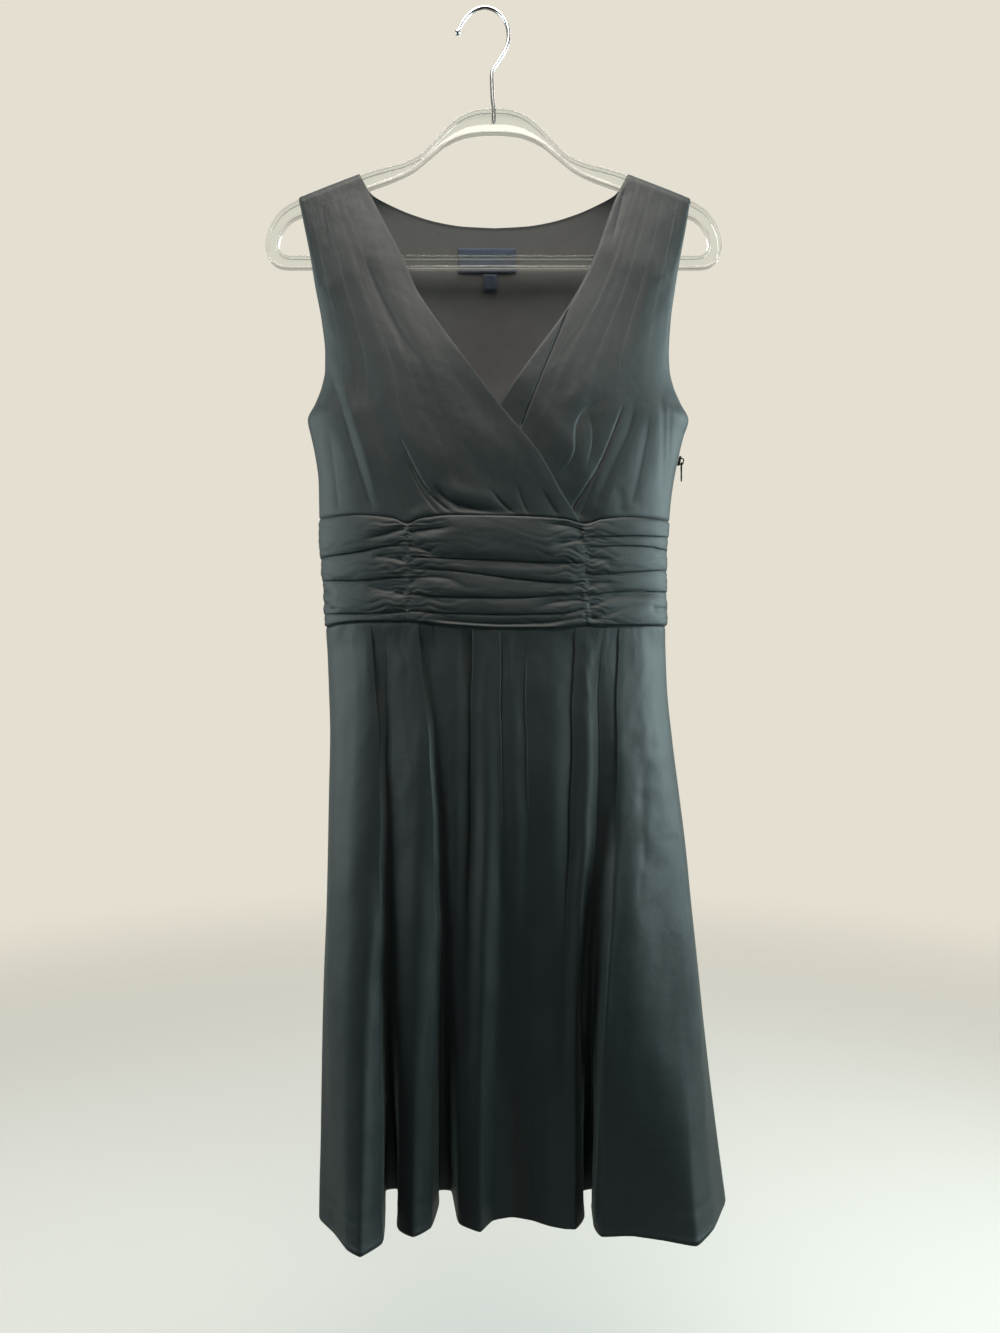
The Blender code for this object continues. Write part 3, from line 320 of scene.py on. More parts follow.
def swell(u: Array, v: Array, seed: int) -> Array:
    """Gradient noise of about -1 to 1 with swells one unit across.

    Args:
        u: Places across.
        v: Places down.
        seed: Which pattern.

    Returns:
        The heights.
    """
    angle = np.random.default_rng(seed).uniform(0.0, 2.0 * math.pi, (SWELL_GRID, SWELL_GRID))
    iu, iv = np.floor(u).astype(int), np.floor(v).astype(int)
    fu, fv = u - iu, v - iv
    ease_u, ease_v = (f ** 3 * (6.0 * f * f - 15.0 * f + 10.0) for f in (fu, fv))
    total = np.zeros_like(u)
    for du in (0, 1):
        for dv in (0, 1):
            turned = angle[(iu + du) % SWELL_GRID, (iv + dv) % SWELL_GRID]
            slope = np.cos(turned) * (fu - du) + np.sin(turned) * (fv - dv)
            total += slope * (ease_u if du else 1.0 - ease_u) * (ease_v if dv else 1.0 - ease_v)
    return total * SWELL_GAIN


@dataclass(frozen=True)
class Gathers:
    """Fine folds that run out from a gathered seam and die away."""

    seed: int
    pitch: float = 2.9
    height: float = 0.85
    reach: float = 4.5
    # Pitch, reach and height of the small, middle and long folds against those three.
    orders: Rows = ((1.0, 1.0, 1.0), (1.8, 2.2, 1.2), (3.3, 4.2, 1.0))
    # How far the folds stray, in pitches, and over how many pitches along the seam and away from it.
    stray: float = 0.8
    stray_size: Pair = (2.1, 2.6)
    # Their mean strength, how much it varies, and over how many pitches and reaches.
    strength: Pair = (0.55, 0.9)
    strength_size: Pair = (1.6, 4.0)
    weakest: float = 0.25
    # Sharpness and mean height of a fold, and how much the longer ones rise away from the seam.
    sharpness: float = 0.9
    mean: float = 0.36
    late: float = 0.45

    def push(self, away: Array, along: Array) -> Array:
        """How far the cloth stands out at some places.

        Args:
            away: Distance from the seam.
            along: Distance along the seam.

        Returns:
            Millimetres outwards, of the same shape.
        """
        out = np.zeros_like(away)
        for order, (pitch, reach, height) in enumerate(self.orders):
            pitch, reach = self.pitch * pitch, self.reach * reach
            shift = self.stray * swell(along / (self.stray_size[0] * pitch),
                                       away / (self.stray_size[1] * pitch), self.seed + order)
            rib = 1.0 - np.abs(np.sin(math.pi * (along / pitch + shift))) ** self.sharpness
            varied = swell(along / (self.strength_size[0] * pitch) + 3.1,
                           away / (self.strength_size[1] * reach), self.seed + 7 + order)
            power = mix(self.weakest, 1.0, ramp(self.strength[0] + self.strength[1] * varied))
            swelling = away / reach * np.exp(1.0 - away / reach)
            fall = mix(np.exp(-away / reach), swelling, self.late * min(order, 1))
            out -= self.height * height * (rib - self.mean) * power * fall
        return out


# ======== form of the worn body
def oval(u: Array, power: float) -> Array:
    """Section of the body: 1 in the middle, falling steeply to 0 at the sides."""
    return np.sqrt(np.maximum(1.0 - np.abs(u) ** power, 0.0))


@dataclass(frozen=True)
class BodyForm:
    """The form that every cloth piece lies on: the same one as the solids'."""

    outline: Track = Track((
        (178, -174.5, 192.3), (208, -168.4, 187.5), (233, -163.4, 182.8), (265, -158, 177.3),
        (297, -152, 173), (326, -149, 171.4), (341, -149.2, 172.2), (356, -152.3, 175.8),
        (372, -158.8, 183), (387, -166, 190.5), (402, -163, 186), (417, -159.7, 182.3),
        (444, -156, 176.8), (466, -155.5, 173.8), (482, -155.2, 172.5), (512, -153.6, 169.8),
        (548, -151, 169.5), (579, -149.5, 169.5), (633, -146.8, 171), (685, -145, 176),
        (737, -145.6, 182.5), (786, -145.9, 188.5), (840, -146.5, 193.5), (892, -148, 199),
        (945, -149, 204.5), (997, -149.4, 210.3), (1051, -149.8, 217), (1093, -150.4, 222.5),
        (1117, -150.5, 225.8)))
    depth: Track = Track((
        (156, -9, 0, 9, 0), (178, -9, 3, 9, 1.5), (208, -9, 9, 9, 3.5),
        (265, -8.5, 20, 9, 6), (326, -7, 33, 8, 9), (360, -4.5, 40, 5, 12),
        (387, -1, 44, -1, 17), (417, -1, 46, -1, 19),
        (482, -1, 44, -1, 20), (530, -1, 43, -1, 20),
        (579, -1, 44, -1, 20)))
    centre_x: float = 8.0
    neck_half: float = 126.0
    neck_drop: float = 156.0
    shoulder_slope: float = 0.395
    shoulder_radius: float = 9.0
    roundness: float = 2.6
    # Height of the puckers in its seam, and the size, share and seed of the long and the short ones.
    pucker: float = 1.7
    puckers: Rows = ((8.0, 0.6, 5), (3.6, 0.35, 6))
    underarm: float = 387.0
    back_band_top: float = 481.0
    waist: float = 579.0
    hem: float = 1117.0
    # Steps over which the depth is evened out.
    steps: tuple[int, ...] = (-20, -10, 0, 10, 20)
    band_top: Track = Track((
        (-155, 479.8), (-117, 479.6), (-82, 483.6), (-69, 488.6), (-58, 484.4), (-27, 481.4),
        (36, 482.6), (72, 484.8), (90.5, 488.8), (105, 484.6), (133, 481.6), (172, 481.8)))
    band_bottom: Track = Track((
        (-155, 580.4), (-108, 576.4), (-69.5, 577), (-31, 580.6), (22, 583.2), (60, 583.2),
        (90.5, 580.6), (122, 580.4), (172, 579.6)))

    def edges(self, drop: Array | float) -> tuple[Array, Array]:
        """X of the silhouette at a height, at -X and at +X."""
        return self.outline(drop, 1), self.outline(drop, 2)

    def edge(self, drop: Array | float, side: Side) -> Array:
        """X of the silhouette on one side at a height."""
        return self.edges(drop)[side is Side.PLUS_X]

    def across(self, x: Array, drop: Array) -> Array:
        """Where x lies between the middle (0) and the edges (-1 and 1)."""
        left, right = self.edges(drop)
        return np.clip((2 * x - left - right) / (right - left), -1.0, 1.0)

    def shoulder(self, x: Array | float) -> Array:
        """Height of the shoulder seam, carried on over the neck opening."""
        return self.neck_drop + (np.abs(x - self.centre_x) - self.neck_half) * self.shoulder_slope

    def shoulder_seam(self, x: Array) -> Array:
        """Height of the sewn shoulder seam, which puckers a little."""
        rise = sum((share * swell(x / size, 0.0 * x, seed) for size, share, seed in self.puckers), 0.5)
        return self.shoulder(x) - self.pucker * np.clip(rise, 0.0, 1.3)

    def roll(self, x: Array, drop: Array) -> Array:
        """0 on the shoulder seam and 1 where the cloth has come down past the hanger's arm."""
        fall = np.clip((drop - self.shoulder(x)) / self.shoulder_radius, 0.0, 1.0)
        return np.sqrt(1.0 - (1.0 - fall) ** 2)

    def surface(self, x: Array, drop: Array, face: Face) -> Array:
        """Y of the plain form, without folds.

        Args:
            x: Places across.
            drop: Places down.
            face: Front or back.

        Returns:
            Y in millimetres.
        """
        column = 1 if face is Face.FRONT else 3
        edge, depth = (sum(self.depth(drop + step, column + k) for step in self.steps)
                       / len(self.steps) for k in (0, 1))
        bulge = depth * oval(self.across(x, drop), self.roundness)
        return self.roll(x, drop) * edge + face.value * bulge


# ======== materials
def linear(code: str) -> tuple[float, float, float, float]:
    """Turn an sRGB hex colour into a linear one with alpha 1."""
    parts = [int(code[k:k + 2], 16) / 255.0 for k in (1, 3, 5)]
    return (*(p / 12.92 if p <= 0.04045 else ((p + 0.055) / 1.055) ** 2.4 for p in parts), 1.0)


def add_node(tree: bpy.types.NodeTree, kind: str, settings: dict | None = None,
             links: dict | None = None) -> bpy.types.Node:
    """Add one shader node.

    Args:
        tree: The node tree.
        kind: The node's type name without "ShaderNode".
        settings: Property names or input names with their values.
        links: Input names or numbers with what feeds them: output sockets, or nodes whose first
            output does.

    Returns:
        The node.
    """
    node = tree.nodes.new("ShaderNode" + kind)
    for key, value in (settings or {}).items():
        if isinstance(key, str) and hasattr(node, key):
            setattr(node, key, value)
        else:
            node.inputs[key].default_value = value
    for key, source in (links or {}).items():
        socket = source.outputs[0] if isinstance(source, bpy.types.Node) else source
        tree.links.new(socket, node.inputs[key])
    return node


@dataclass(frozen=True)
class Finish:
    """A surface finish on a Principled shader; its numbers stand on the shader's own sockets."""

    name: str
    colour: str
    roughness: float
    metallic: float = 0.0
    extra: tuple[tuple[str, float | tuple[float, ...]], ...] = ()

    def start(self) -> tuple[Material, bpy.types.NodeTree, bpy.types.Node]:
        """Make the material with its shader.

        Returns:
            The material, its tree and the Principled node.
        """
        material = bpy.data.materials.new(self.name)
        material.use_nodes = True
        shader = material.node_tree.nodes["Principled BSDF"]
        shader.inputs["Base Color"].default_value = linear(self.colour)
        shader.inputs["Roughness"].default_value = self.roughness
        shader.inputs["Metallic"].default_value = self.metallic
        for socket, value in self.extra:
            shader.inputs[socket].default_value = value
        material.diffuse_color = linear(self.colour)
        return material, material.node_tree, shader

    def make(self) -> Material:
        """The plain finish."""
        return self.start()[0]


@dataclass(frozen=True)
class WovenFinish(Finish):
    """Cloth: threads across and along the piece, with soft changes of shade and small crumples.

    The piece's UV map is its own surface in metres, so the threads follow the folds.
    """

    shade: str = "#000000"
    patch_size: float = 60.0
    thread_pitch: float = 0.8
    thread_height: float = 0.05
    crumple_size: float = 9.0
    crumple_height: float = 0.25

    def make(self) -> Material:
        """Weave the cloth.

        Returns:
            The material.
        """
        material, tree, shader = self.start()
        place = add_node(tree, "TexCoord").outputs["UV"]
        patch = add_node(tree, "TexNoise", {"Scale": 1.0 / (self.patch_size * MM), "Detail": 3.0,
                                            "Roughness": 0.6}, {"Vector": place})
        tone = add_node(tree, "Mix", {"data_type": "RGBA", 6: linear(self.colour),
                                      7: linear(self.shade)}, {0: patch.outputs["Fac"]})
        tree.links.new(tone.outputs[2], shader.inputs["Base Color"])
        parts = add_node(tree, "SeparateXYZ", links={0: place})
        threads = []
        for axis in ("X", "Y"):
            turns = add_node(tree, "Math", {"operation": "MULTIPLY",
                                            1: 2 * math.pi / (self.thread_pitch * MM)},
                             {0: parts.outputs[axis]})
            threads.append(add_node(tree, "Math", {"operation": "SINE"}, {0: turns}))
        weave = add_node(tree, "Math", {"operation": "MULTIPLY"}, {0: threads[0], 1: threads[1]})
        crumple = add_node(tree, "TexNoise", {"Scale": 1.0 / (self.crumple_size * MM),
                                              "Detail": 2.5, "Roughness": 0.55},
                           {"Vector": place})
        soft = add_node(tree, "Bump", {"Strength": 1.0, "Distance": self.crumple_height * MM},
                        {"Height": crumple.outputs["Fac"]})
        fine = add_node(tree, "Bump", {"Strength": 1.0, "Distance": self.thread_height * MM},
                        {"Height": weave, "Normal": soft})
        tree.links.new(fine.outputs[0], shader.inputs["Normal"])
        return material


@dataclass(frozen=True)
class MouldedFinish(Finish):
    """Hard finish with the faint unevenness of a moulded or drawn surface."""

    grain: float = 6.0
    height: float = 0.02

    def make(self) -> Material:
        """Give the surface its unevenness.

        Returns:
            The material.
        """
        material, tree, shader = self.start()
        place = add_node(tree, "TexCoord").outputs["Object"]
        noise = add_node(tree, "TexNoise", {"Scale": 1.0 / (self.grain * MM), "Detail": 2.0},
                         {"Vector": place})
        bump = add_node(tree, "Bump", {"Strength": 1.0, "Distance": self.height * MM},
                        {"Height": noise.outputs["Fac"]})
        tree.links.new(bump.outputs[0], shader.inputs["Normal"])
        return material


# Polyester satin: long floats on its face give a broad soft gleam on near-black cloth.  Real threads
# are about 0.1 mm apart; both faces draw them 0.8 mm apart, so that they can show.
SATIN = WovenFinish("black_polyester_satin", "#0c1618", 0.56, extra=(
    ("Specular IOR Level", 0.62), ("Anisotropic", 0.2), ("Sheen Weight", 0.22),
    ("Sheen Roughness", 0.32), ("Sheen Tint", linear("#a4c4c0"))),
    shade="#131f21", thread_height=0.03)
# The satin's reverse: short floats, so it is dull and a little browner. Its grey is painted light:
# far paler than the near-black cloth, standing in for light on the inside of the back that the fronts
# shade.
REVERSE_PAINTED_LIGHT = WovenFinish("satin_reverse_painted_light", "#585857", 0.68, extra=(
    ("Specular IOR Level", 0.4), ("Sheen Weight", 0.5), ("Sheen Roughness", 0.5),
    ("Sheen Tint", linear("#a2a29e"))),
    shade="#4d4d4c")
# Damask-woven label tape: dense, flat and dull dark navy, with its fine threads drawn coarser too.
LABEL = WovenFinish("woven_navy_label", "#34445c", 0.7, extra=(
    ("Sheen Weight", 0.2),), shade="#2a384c", thread_pitch=0.5, thread_height=0.08,
    crumple_height=0.05)
# Spun sewing thread: a round dark line with a dull gleam.
THREAD = Finish("black_sewing_thread", "#14171a", 0.55, extra=(("Sheen Weight", 0.3),))
# Injection-moulded polystyrene: water-clear, glossy, bright at its rims.
CLEAR = MouldedFinish("clear_polystyrene", "#f4f7f5", 0.03, extra=(
    ("Transmission Weight", 1.0), ("IOR", 1.52)), grain=30.0, height=0.02)
# Chromed steel wire: mirror bright with faint drawing marks.
CHROME = MouldedFinish("chromed_steel_wire", "#c9cbcc", 0.24, 1.0, grain=3.0, height=0.01)
# Zinc zip parts under black enamel: dark, with worn soft highlights.
ENAMEL = MouldedFinish("black_enamelled_zinc", "#08090a", 0.6, extra=(("Specular IOR Level", 0.2),),
                       grain=1.5, height=0.02)
# Painted studio floor: pale and matt.
FLOOR = Finish("pale_matt_floor", "#c4c2bd", 0.9)


# ======== mesh helpers
def deselect_all() -> None:
    """Leave edit mode and clear the selection."""
    if bpy.context.object is not None and bpy.context.object.mode != "OBJECT":
        bpy.ops.object.mode_set(mode="OBJECT")
    for thing in bpy.context.selected_objects:
        thing.select_set(False)


def make_active(piece: Piece) -> None:
    """Select one object alone."""
    deselect_all()
    piece.select_set(True)
    bpy.context.view_layer.objects.active = piece


def apply_modifiers(piece: Piece) -> None:
    """Turn every modifier of a piece into its mesh."""
    make_active(piece)
    for modifier in list(piece.modifiers):
        bpy.ops.object.modifier_apply(modifier=modifier.name)


def settle_in_place(piece: Piece) -> None:
    """Put an object's place, turn and scale into its mesh."""
    make_active(piece)
    bpy.ops.object.transform_apply(location=True, rotation=True, scale=True)


@contextmanager
def editing(piece: Piece) -> Iterator[None]:
    """Edit one piece, selected all over, and leave edit mode after it.

    Args:
        piece: The piece.
    """
    make_active(piece)
    bpy.ops.object.mode_set(mode="EDIT")
    bpy.ops.mesh.select_all(action="SELECT")
    yield
    bpy.ops.object.mode_set(mode="OBJECT")


def close_seams(piece: Piece, gap: float) -> None:
    """Merge the points of a piece that lie within a gap and turn its faces outwards."""
    with editing(piece):
        bpy.ops.mesh.remove_doubles(threshold=gap * MM)
        bpy.ops.mesh.normals_make_consistent(inside=False)


def round_edges(piece: Piece, width: float, segments: int, from_degrees: float = 30.0) -> None:
    """Bevel the edges of a piece that are sharper than an angle.

    Args:
        piece: The piece.
        width: Width of the bevel.
        segments: Steps across it.
        from_degrees: That angle.
    """
    bevel = piece.modifiers.new("rounding", "BEVEL")
    bevel.width, bevel.segments, bevel.limit_method = width * MM, segments, "ANGLE"
    bevel.angle_limit = math.radians(from_degrees)
    apply_modifiers(piece)


def join(pieces: list[Piece], name: str) -> Piece:
    """Join pieces into the first one.

    Args:
        pieces: The pieces.
        name: The name it gets.

    Returns:
        The joined piece, alone selected.
    """
    make_active(pieces[0])
    for piece in pieces:
        piece.select_set(True)
    bpy.ops.object.join()
    pieces[0].name = name
    return pieces[0]


def curve_mesh(name: str, lines: Iterable[list[tuple[float, ...]]], closed: bool = False,
               place: Place = (0.0, 0.0, 0.0), turn: Place = (0.0, 0.0, 0.0),
               **settings: float | str | bool) -> Piece:
    """Make a mesh from a curve of straight runs.

    Args:
        name: The piece's name.
        lines: For each run of the curve, its points: x, y and z, and its thickness as a share.
        closed: Whether each run is a loop.
        place: Where the curve stands, in metres.
        turn: Its turns about x, y and z, in degrees.
        settings: Properties of the curve, in metres.

    Returns:
        The piece, alone selected.
    """
    curve = bpy.data.curves.new(name, "CURVE")
    for key, value in settings.items():
        setattr(curve, key, value)
    for line in lines:
        spline = curve.splines.new("POLY")
        spline.points.add(len(line) - 1)
        for point, (x, y, z, share) in zip(spline.points, line):
            point.co, point.radius = (x * MM, y * MM, z * MM, 1.0), share
        spline.use_cyclic_u = closed
    piece = bpy.data.objects.new(name, curve)
    bpy.context.scene.collection.objects.link(piece)
    piece.location = place
    piece.rotation_euler = [math.radians(angle) for angle in turn]
    make_active(piece)
    bpy.ops.object.convert(target="MESH")
    settle_in_place(piece)
    return piece


def select_faces(piece: Piece, wanted: Callable[[bmesh.types.BMFace], bool]) -> None:
    """Select some faces of a piece that is in edit mode.

    Args:
        piece: The piece.
        wanted: Says whether a face is selected.
    """
    bpy.ops.mesh.select_mode(type="FACE")
    bpy.ops.mesh.select_all(action="DESELECT")
    shell = bmesh.from_edit_mesh(piece.data)
    for face in shell.faces:
        if wanted(face):
            face.select_set(True)
    bmesh.update_edit_mesh(piece.data)


def finish_piece(piece: Piece, nodes: tuple[str, ...] = (),
                 body: str = DRESS_BODY) -> Piece:
    """Tie a piece to the frame.

    Args:
        piece: The finished piece.
        nodes: The solids that it stands for.
        body: The body that it rides on.

    Returns:
        The piece.
    """
    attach(piece, body)
    if nodes:
        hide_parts(*nodes)
    log.info("%s: %d faces", piece.name, len(piece.data.polygons))
    return piece


def finish_hard_piece(piece: Piece, material: Material,
                      nodes: tuple[str, ...] = (), body: str = DRESS_BODY,
                      crisp: float | None = 50.0) -> Piece:
    """Shade a piece, give it its material and tie it to the frame.

    Args:
        piece: The piece, alone selected.
        material: Its material.
        nodes: The solids that it stands for.
        body: The body that it rides on.
        crisp: Angle in degrees from which an edge stays crisp, if any does.

    Returns:
        The piece.
    """
    if crisp is None:
        bpy.ops.object.shade_smooth()
    else:
        bpy.ops.object.shade_smooth_by_angle(angle=math.radians(crisp))
    piece.data.materials.clear()
    piece.data.materials.append(material)
    return finish_piece(piece, nodes, body)


def normals_of(points: Array) -> Array:
    """Outward unit normals of a grid of points."""
    normal = np.cross(np.gradient(points, axis=0), np.gradient(points, axis=1))
    return normal / np.maximum(np.linalg.norm(normal, axis=2, keepdims=True), 1e-9)


def lengths_along(points: Array, axis: int) -> Array:
    """Distance of each grid point from the grid's start along rows (0) or columns (1)."""
    steps = np.linalg.norm(np.diff(points, axis=axis), axis=2)
    return np.concatenate([np.zeros_like(np.take(steps, [0], axis=axis)),
                           np.cumsum(steps, axis=axis)], axis=axis)


@dataclass(frozen=True)
class EdgeRoll:
    """How far the cloth turns in along its four edges, in millimetres."""

    top: float = 0.0
    bottom: float = 0.0
    start: float = 0.0
    end: float = 0.0
    width: float = 1.6

    def push(self, points: Array) -> Array:
        """How far the edges turn in.

        Args:
            points: A grid of points.

        Returns:
            A negative height for each of them.
        """
        down, across = lengths_along(points, 0), lengths_along(points, 1)
        away = {"top": down, "bottom": down[-1:] - down, "start": across,
                "end": across[:, -1:] - across}
        return -sum(getattr(self, edge) * bell(away[edge], self.width) for edge in away)


@dataclass(frozen=True)
class ClothShop:
    """Makes thin shells from grids of points and dresses them."""

    face: Material
    reverse: Material
    wall: float = 0.4

    def shell(self, name: str, points: Array) -> Piece:
        """A thin closed shell of cloth with its UV map.

        Args:
            name: The piece's name.
            points: Outer points; rows run down, columns to the right as seen from outside.

        Returns:
            The piece.
        """
        rows, columns = points.shape[:2]
        corner = (np.arange(rows - 1)[:, None] * columns + np.arange(columns - 1)).ravel()
        faces = np.stack([corner, corner + columns, corner + columns + 1, corner + 1], axis=1)
        mesh = bpy.data.meshes.new(name)
        mesh.from_pydata((points.reshape(-1, 3) * MM).tolist(), [], faces.tolist())
        mesh.polygons.foreach_set("use_smooth", [True] * len(faces))
        middle = columns // 2
        across = lengths_along(points, 1)
        across = across - across[:, middle:middle + 1]
        flat = np.stack([across, -lengths_along(points, 0)], axis=2).reshape(-1, 2) * MM
        layer = mesh.uv_layers.new(name="surface")
        layer.data.foreach_set("uv", flat[faces.ravel()].ravel())
        piece = bpy.data.objects.new(name, mesh)
        bpy.context.scene.collection.objects.link(piece)
        for material in (self.face, self.reverse):
            mesh.materials.append(material)
        solidify = piece.modifiers.new("wall", "SOLIDIFY")
        solidify.thickness = self.wall * MM
        solidify.offset = -1.0
        solidify.material_offset = 1
        apply_modifiers(piece)
        # The narrow cut edges are flat, so that they don't round the shading of the cloth.
        rim_from = 2 * len(faces)
        piece.data.polygons.foreach_set(
            "use_smooth", [k < rim_from for k in range(len(piece.data.polygons))])
        return piece

    def panel(self, name: str, points: Array, cut: Pair, held: str,
              share: float | None = None) -> Piece:
        """A finished satin panel, tied to the solid that it stands for.

        Args:
            name: The solid that it stands for.
            points: Its outer points, as for a shell.
            cut: Width and length of the flat cut, in metres; not used.
            held: How it is held; not used.
            share: The part of that rectangle that the cut takes up, if it isn't one; not used.

        Returns:
            The piece.
        """
        piece = self.shell("satin_" + name, points)
        finish_piece(piece, (name,))
        return piece


def crowded(count: int, start: tuple[float, ...] = (), end: tuple[float, ...] = ()) -> Array:
    """Positions from 0 to 1: even in the middle, given ones near the ends.

    Args:
        count: How many even positions.
        start: Extra positions at the start, from 0.
        end: Extra distances from the end, from 0.

    Returns:
        The sorted positions.
    """
    low = (start[-1] if start else 0.0) + 1.0 / count
    high = 1.0 - (end[-1] if end else 0.0) - 1.0 / count
    middle = np.linspace(low if start else 0.0, high if end else 1.0, count)
    return np.concatenate([start, middle, 1.0 - np.array(end[::-1])])


# ======== bodice
# Closer rows at the shoulder and at the other edges of a panel, as parts of its length.
SHOULDER_ROWS = (0.0, 0.0012, 0.003, 0.0055, 0.009, 0.0135, 0.019, 0.026)
SEAM_ROWS = (0.0, 0.002, 0.0045, 0.008, 0.0125)
SHOULDER_PUCKERS = Gathers(231, 6.5, 0.4, 7.0, ((1.0, 1.0, 1.0), (1.8, 1.6, 0.8)))


@dataclass(frozen=True)
class Inside:
    """How far inside the edges of a bodice panel its folds are whole."""

    bottom: float
    top: float
    # Beside the side seam, as a part of the half width.
    side: float

    def __call__(self, drop: Array, top: Array, low: Array | float, across: Array) -> Array:
        """0 on those edges and 1 inside; across runs from -1 to 1."""
        return (ramp((low - drop) / self.bottom) * ramp((drop - top) / self.top)
                * ramp((1.0 - np.abs(across)) / self.side))


@dataclass(frozen=True)
class CrossFront:
    """One front of the bodice, from its side seam and armhole to its neck edge."""

    name: str
    side: Side
    edge: Track
    creases: tuple[Crease, ...]
    crumples: tuple[Crumple, ...]
    cut: Pair
    lap: Push | None = None
    share: float = 0.54
    rows: int = 180
    columns: int = 165
    # How much closer together the columns are at the side seam.
    crowding: float = 0.45
    # Drops of the shoulder's and the band's end at the side.
    ends: Pair = (178.0, 482.0)
    folded: Inside = Inside(7.0, 26.0, 0.05)
    movable: Inside = Inside(6.0, 20.0, 0.06)
    # How far the neck edge turns in, and the armhole, and how much more of that the side seam does.
    neck_turn: float = 0.15
    armhole_turn: float = 0.4
    seam_turn: float = 0.3
    turn_width: float = 1.6

    def build(self, form: BodyForm, shop: ClothShop) -> Piece:
        """Make the front.

        Args:
            form: The form that it lies on.
            shop: Makes its shell.

        Returns:
            The piece.
        """
        parts = crowded(self.columns, SEAM_ROWS, SEAM_ROWS)
        spread = mix(parts, 1.0 - np.cos(parts * math.pi / 2), self.crowding)
        down = crowded(self.rows, SHOULDER_ROWS, SEAM_ROWS)[:, None]
        high_x, low_x = (mix(form.edge(level, self.side), row[1], spread) for level, row in
                         zip(self.ends, (self.edge.rows[0], self.edge.rows[-1])))
        top, low = form.shoulder_seam(high_x), form.band_top(low_x)
        drop = mix(top, low, down)
        x = mix(form.edge(drop, self.side), self.edge(drop), spread)
        free = (self.movable(drop, top, low, form.across(x, drop))
                * ramp(np.abs(x - self.edge(drop)) / 5.0))
        for fold in self.creases:
            fold.gather_points(x, drop, free)
        points = np.stack([x, form.surface(x, drop, Face.FRONT), -drop], axis=2)
        push = (sum(fold.push(x, drop) for fold in self.creases + self.crumples)
                * self.folded(drop, top, low, form.across(x, drop)))
        push += SHOULDER_PUCKERS.push(drop - top, x) * ramp((drop - top) / 3.0)
        seam = ramp((drop - form.underarm + 8.0) / 8.0)
        roll = EdgeRoll(top=0.5, bottom=0.9, end=self.neck_turn, width=1.3).push(points)
        roll = roll - bell(lengths_along(points, 1), self.turn_width) * (
            self.armhole_turn + self.seam_turn * seam)
        if self.side is Side.PLUS_X:
            points, push, roll = points[:, ::-1], push[:, ::-1], roll[:, ::-1]
        normal = normals_of(points)
        points = points + normal * roll[..., None]
        points[..., 1] -= push
        if self.lap is not None:
            points[..., 1] += self.lap(points[..., 0], -points[..., 2])
        return shop.panel(self.name, points, self.cut, "hung", self.share)


TOP_EDGE = Track((
    (156, -118), (200, -96), (243, -74.7), (272, -62.5), (298, -46.7), (350, -10),
    (381, 13), (428, 50.6), (461, 69.4), (486, 85.5)))
UNDER_EDGE = Track((
    (156, 134), (187, 119.5), (225, 106.4), (256, 94), (292, 74.4), (330, 48),
    (380, 13), (437, -26), (486, -52)))


@dataclass(frozen=True)
class UnderLap:
    """How the under front goes behind the top front."""

    # How far behind it lies at the top front's edge and deep under it, and how far under that is.
    behind: float = 2.6
    hidden: float = 10.0
    hiding: float = 30.0
    # How far beyond the edge it is back on the form.
    fade: float = 40.0

    def __call__(self, x: Array, drop: Array) -> Array:
        """How far behind the form the under front lies.

        Args:
            x: Places across.
            drop: Places down.

        Returns:
            Millimetres to +Y, of the same shape.
        """
        beyond = x - TOP_EDGE(drop)
        deep = mix(self.behind, self.hidden, ramp(-beyond / self.hiding))
        return deep * ramp(1.0 - beyond / self.fade)


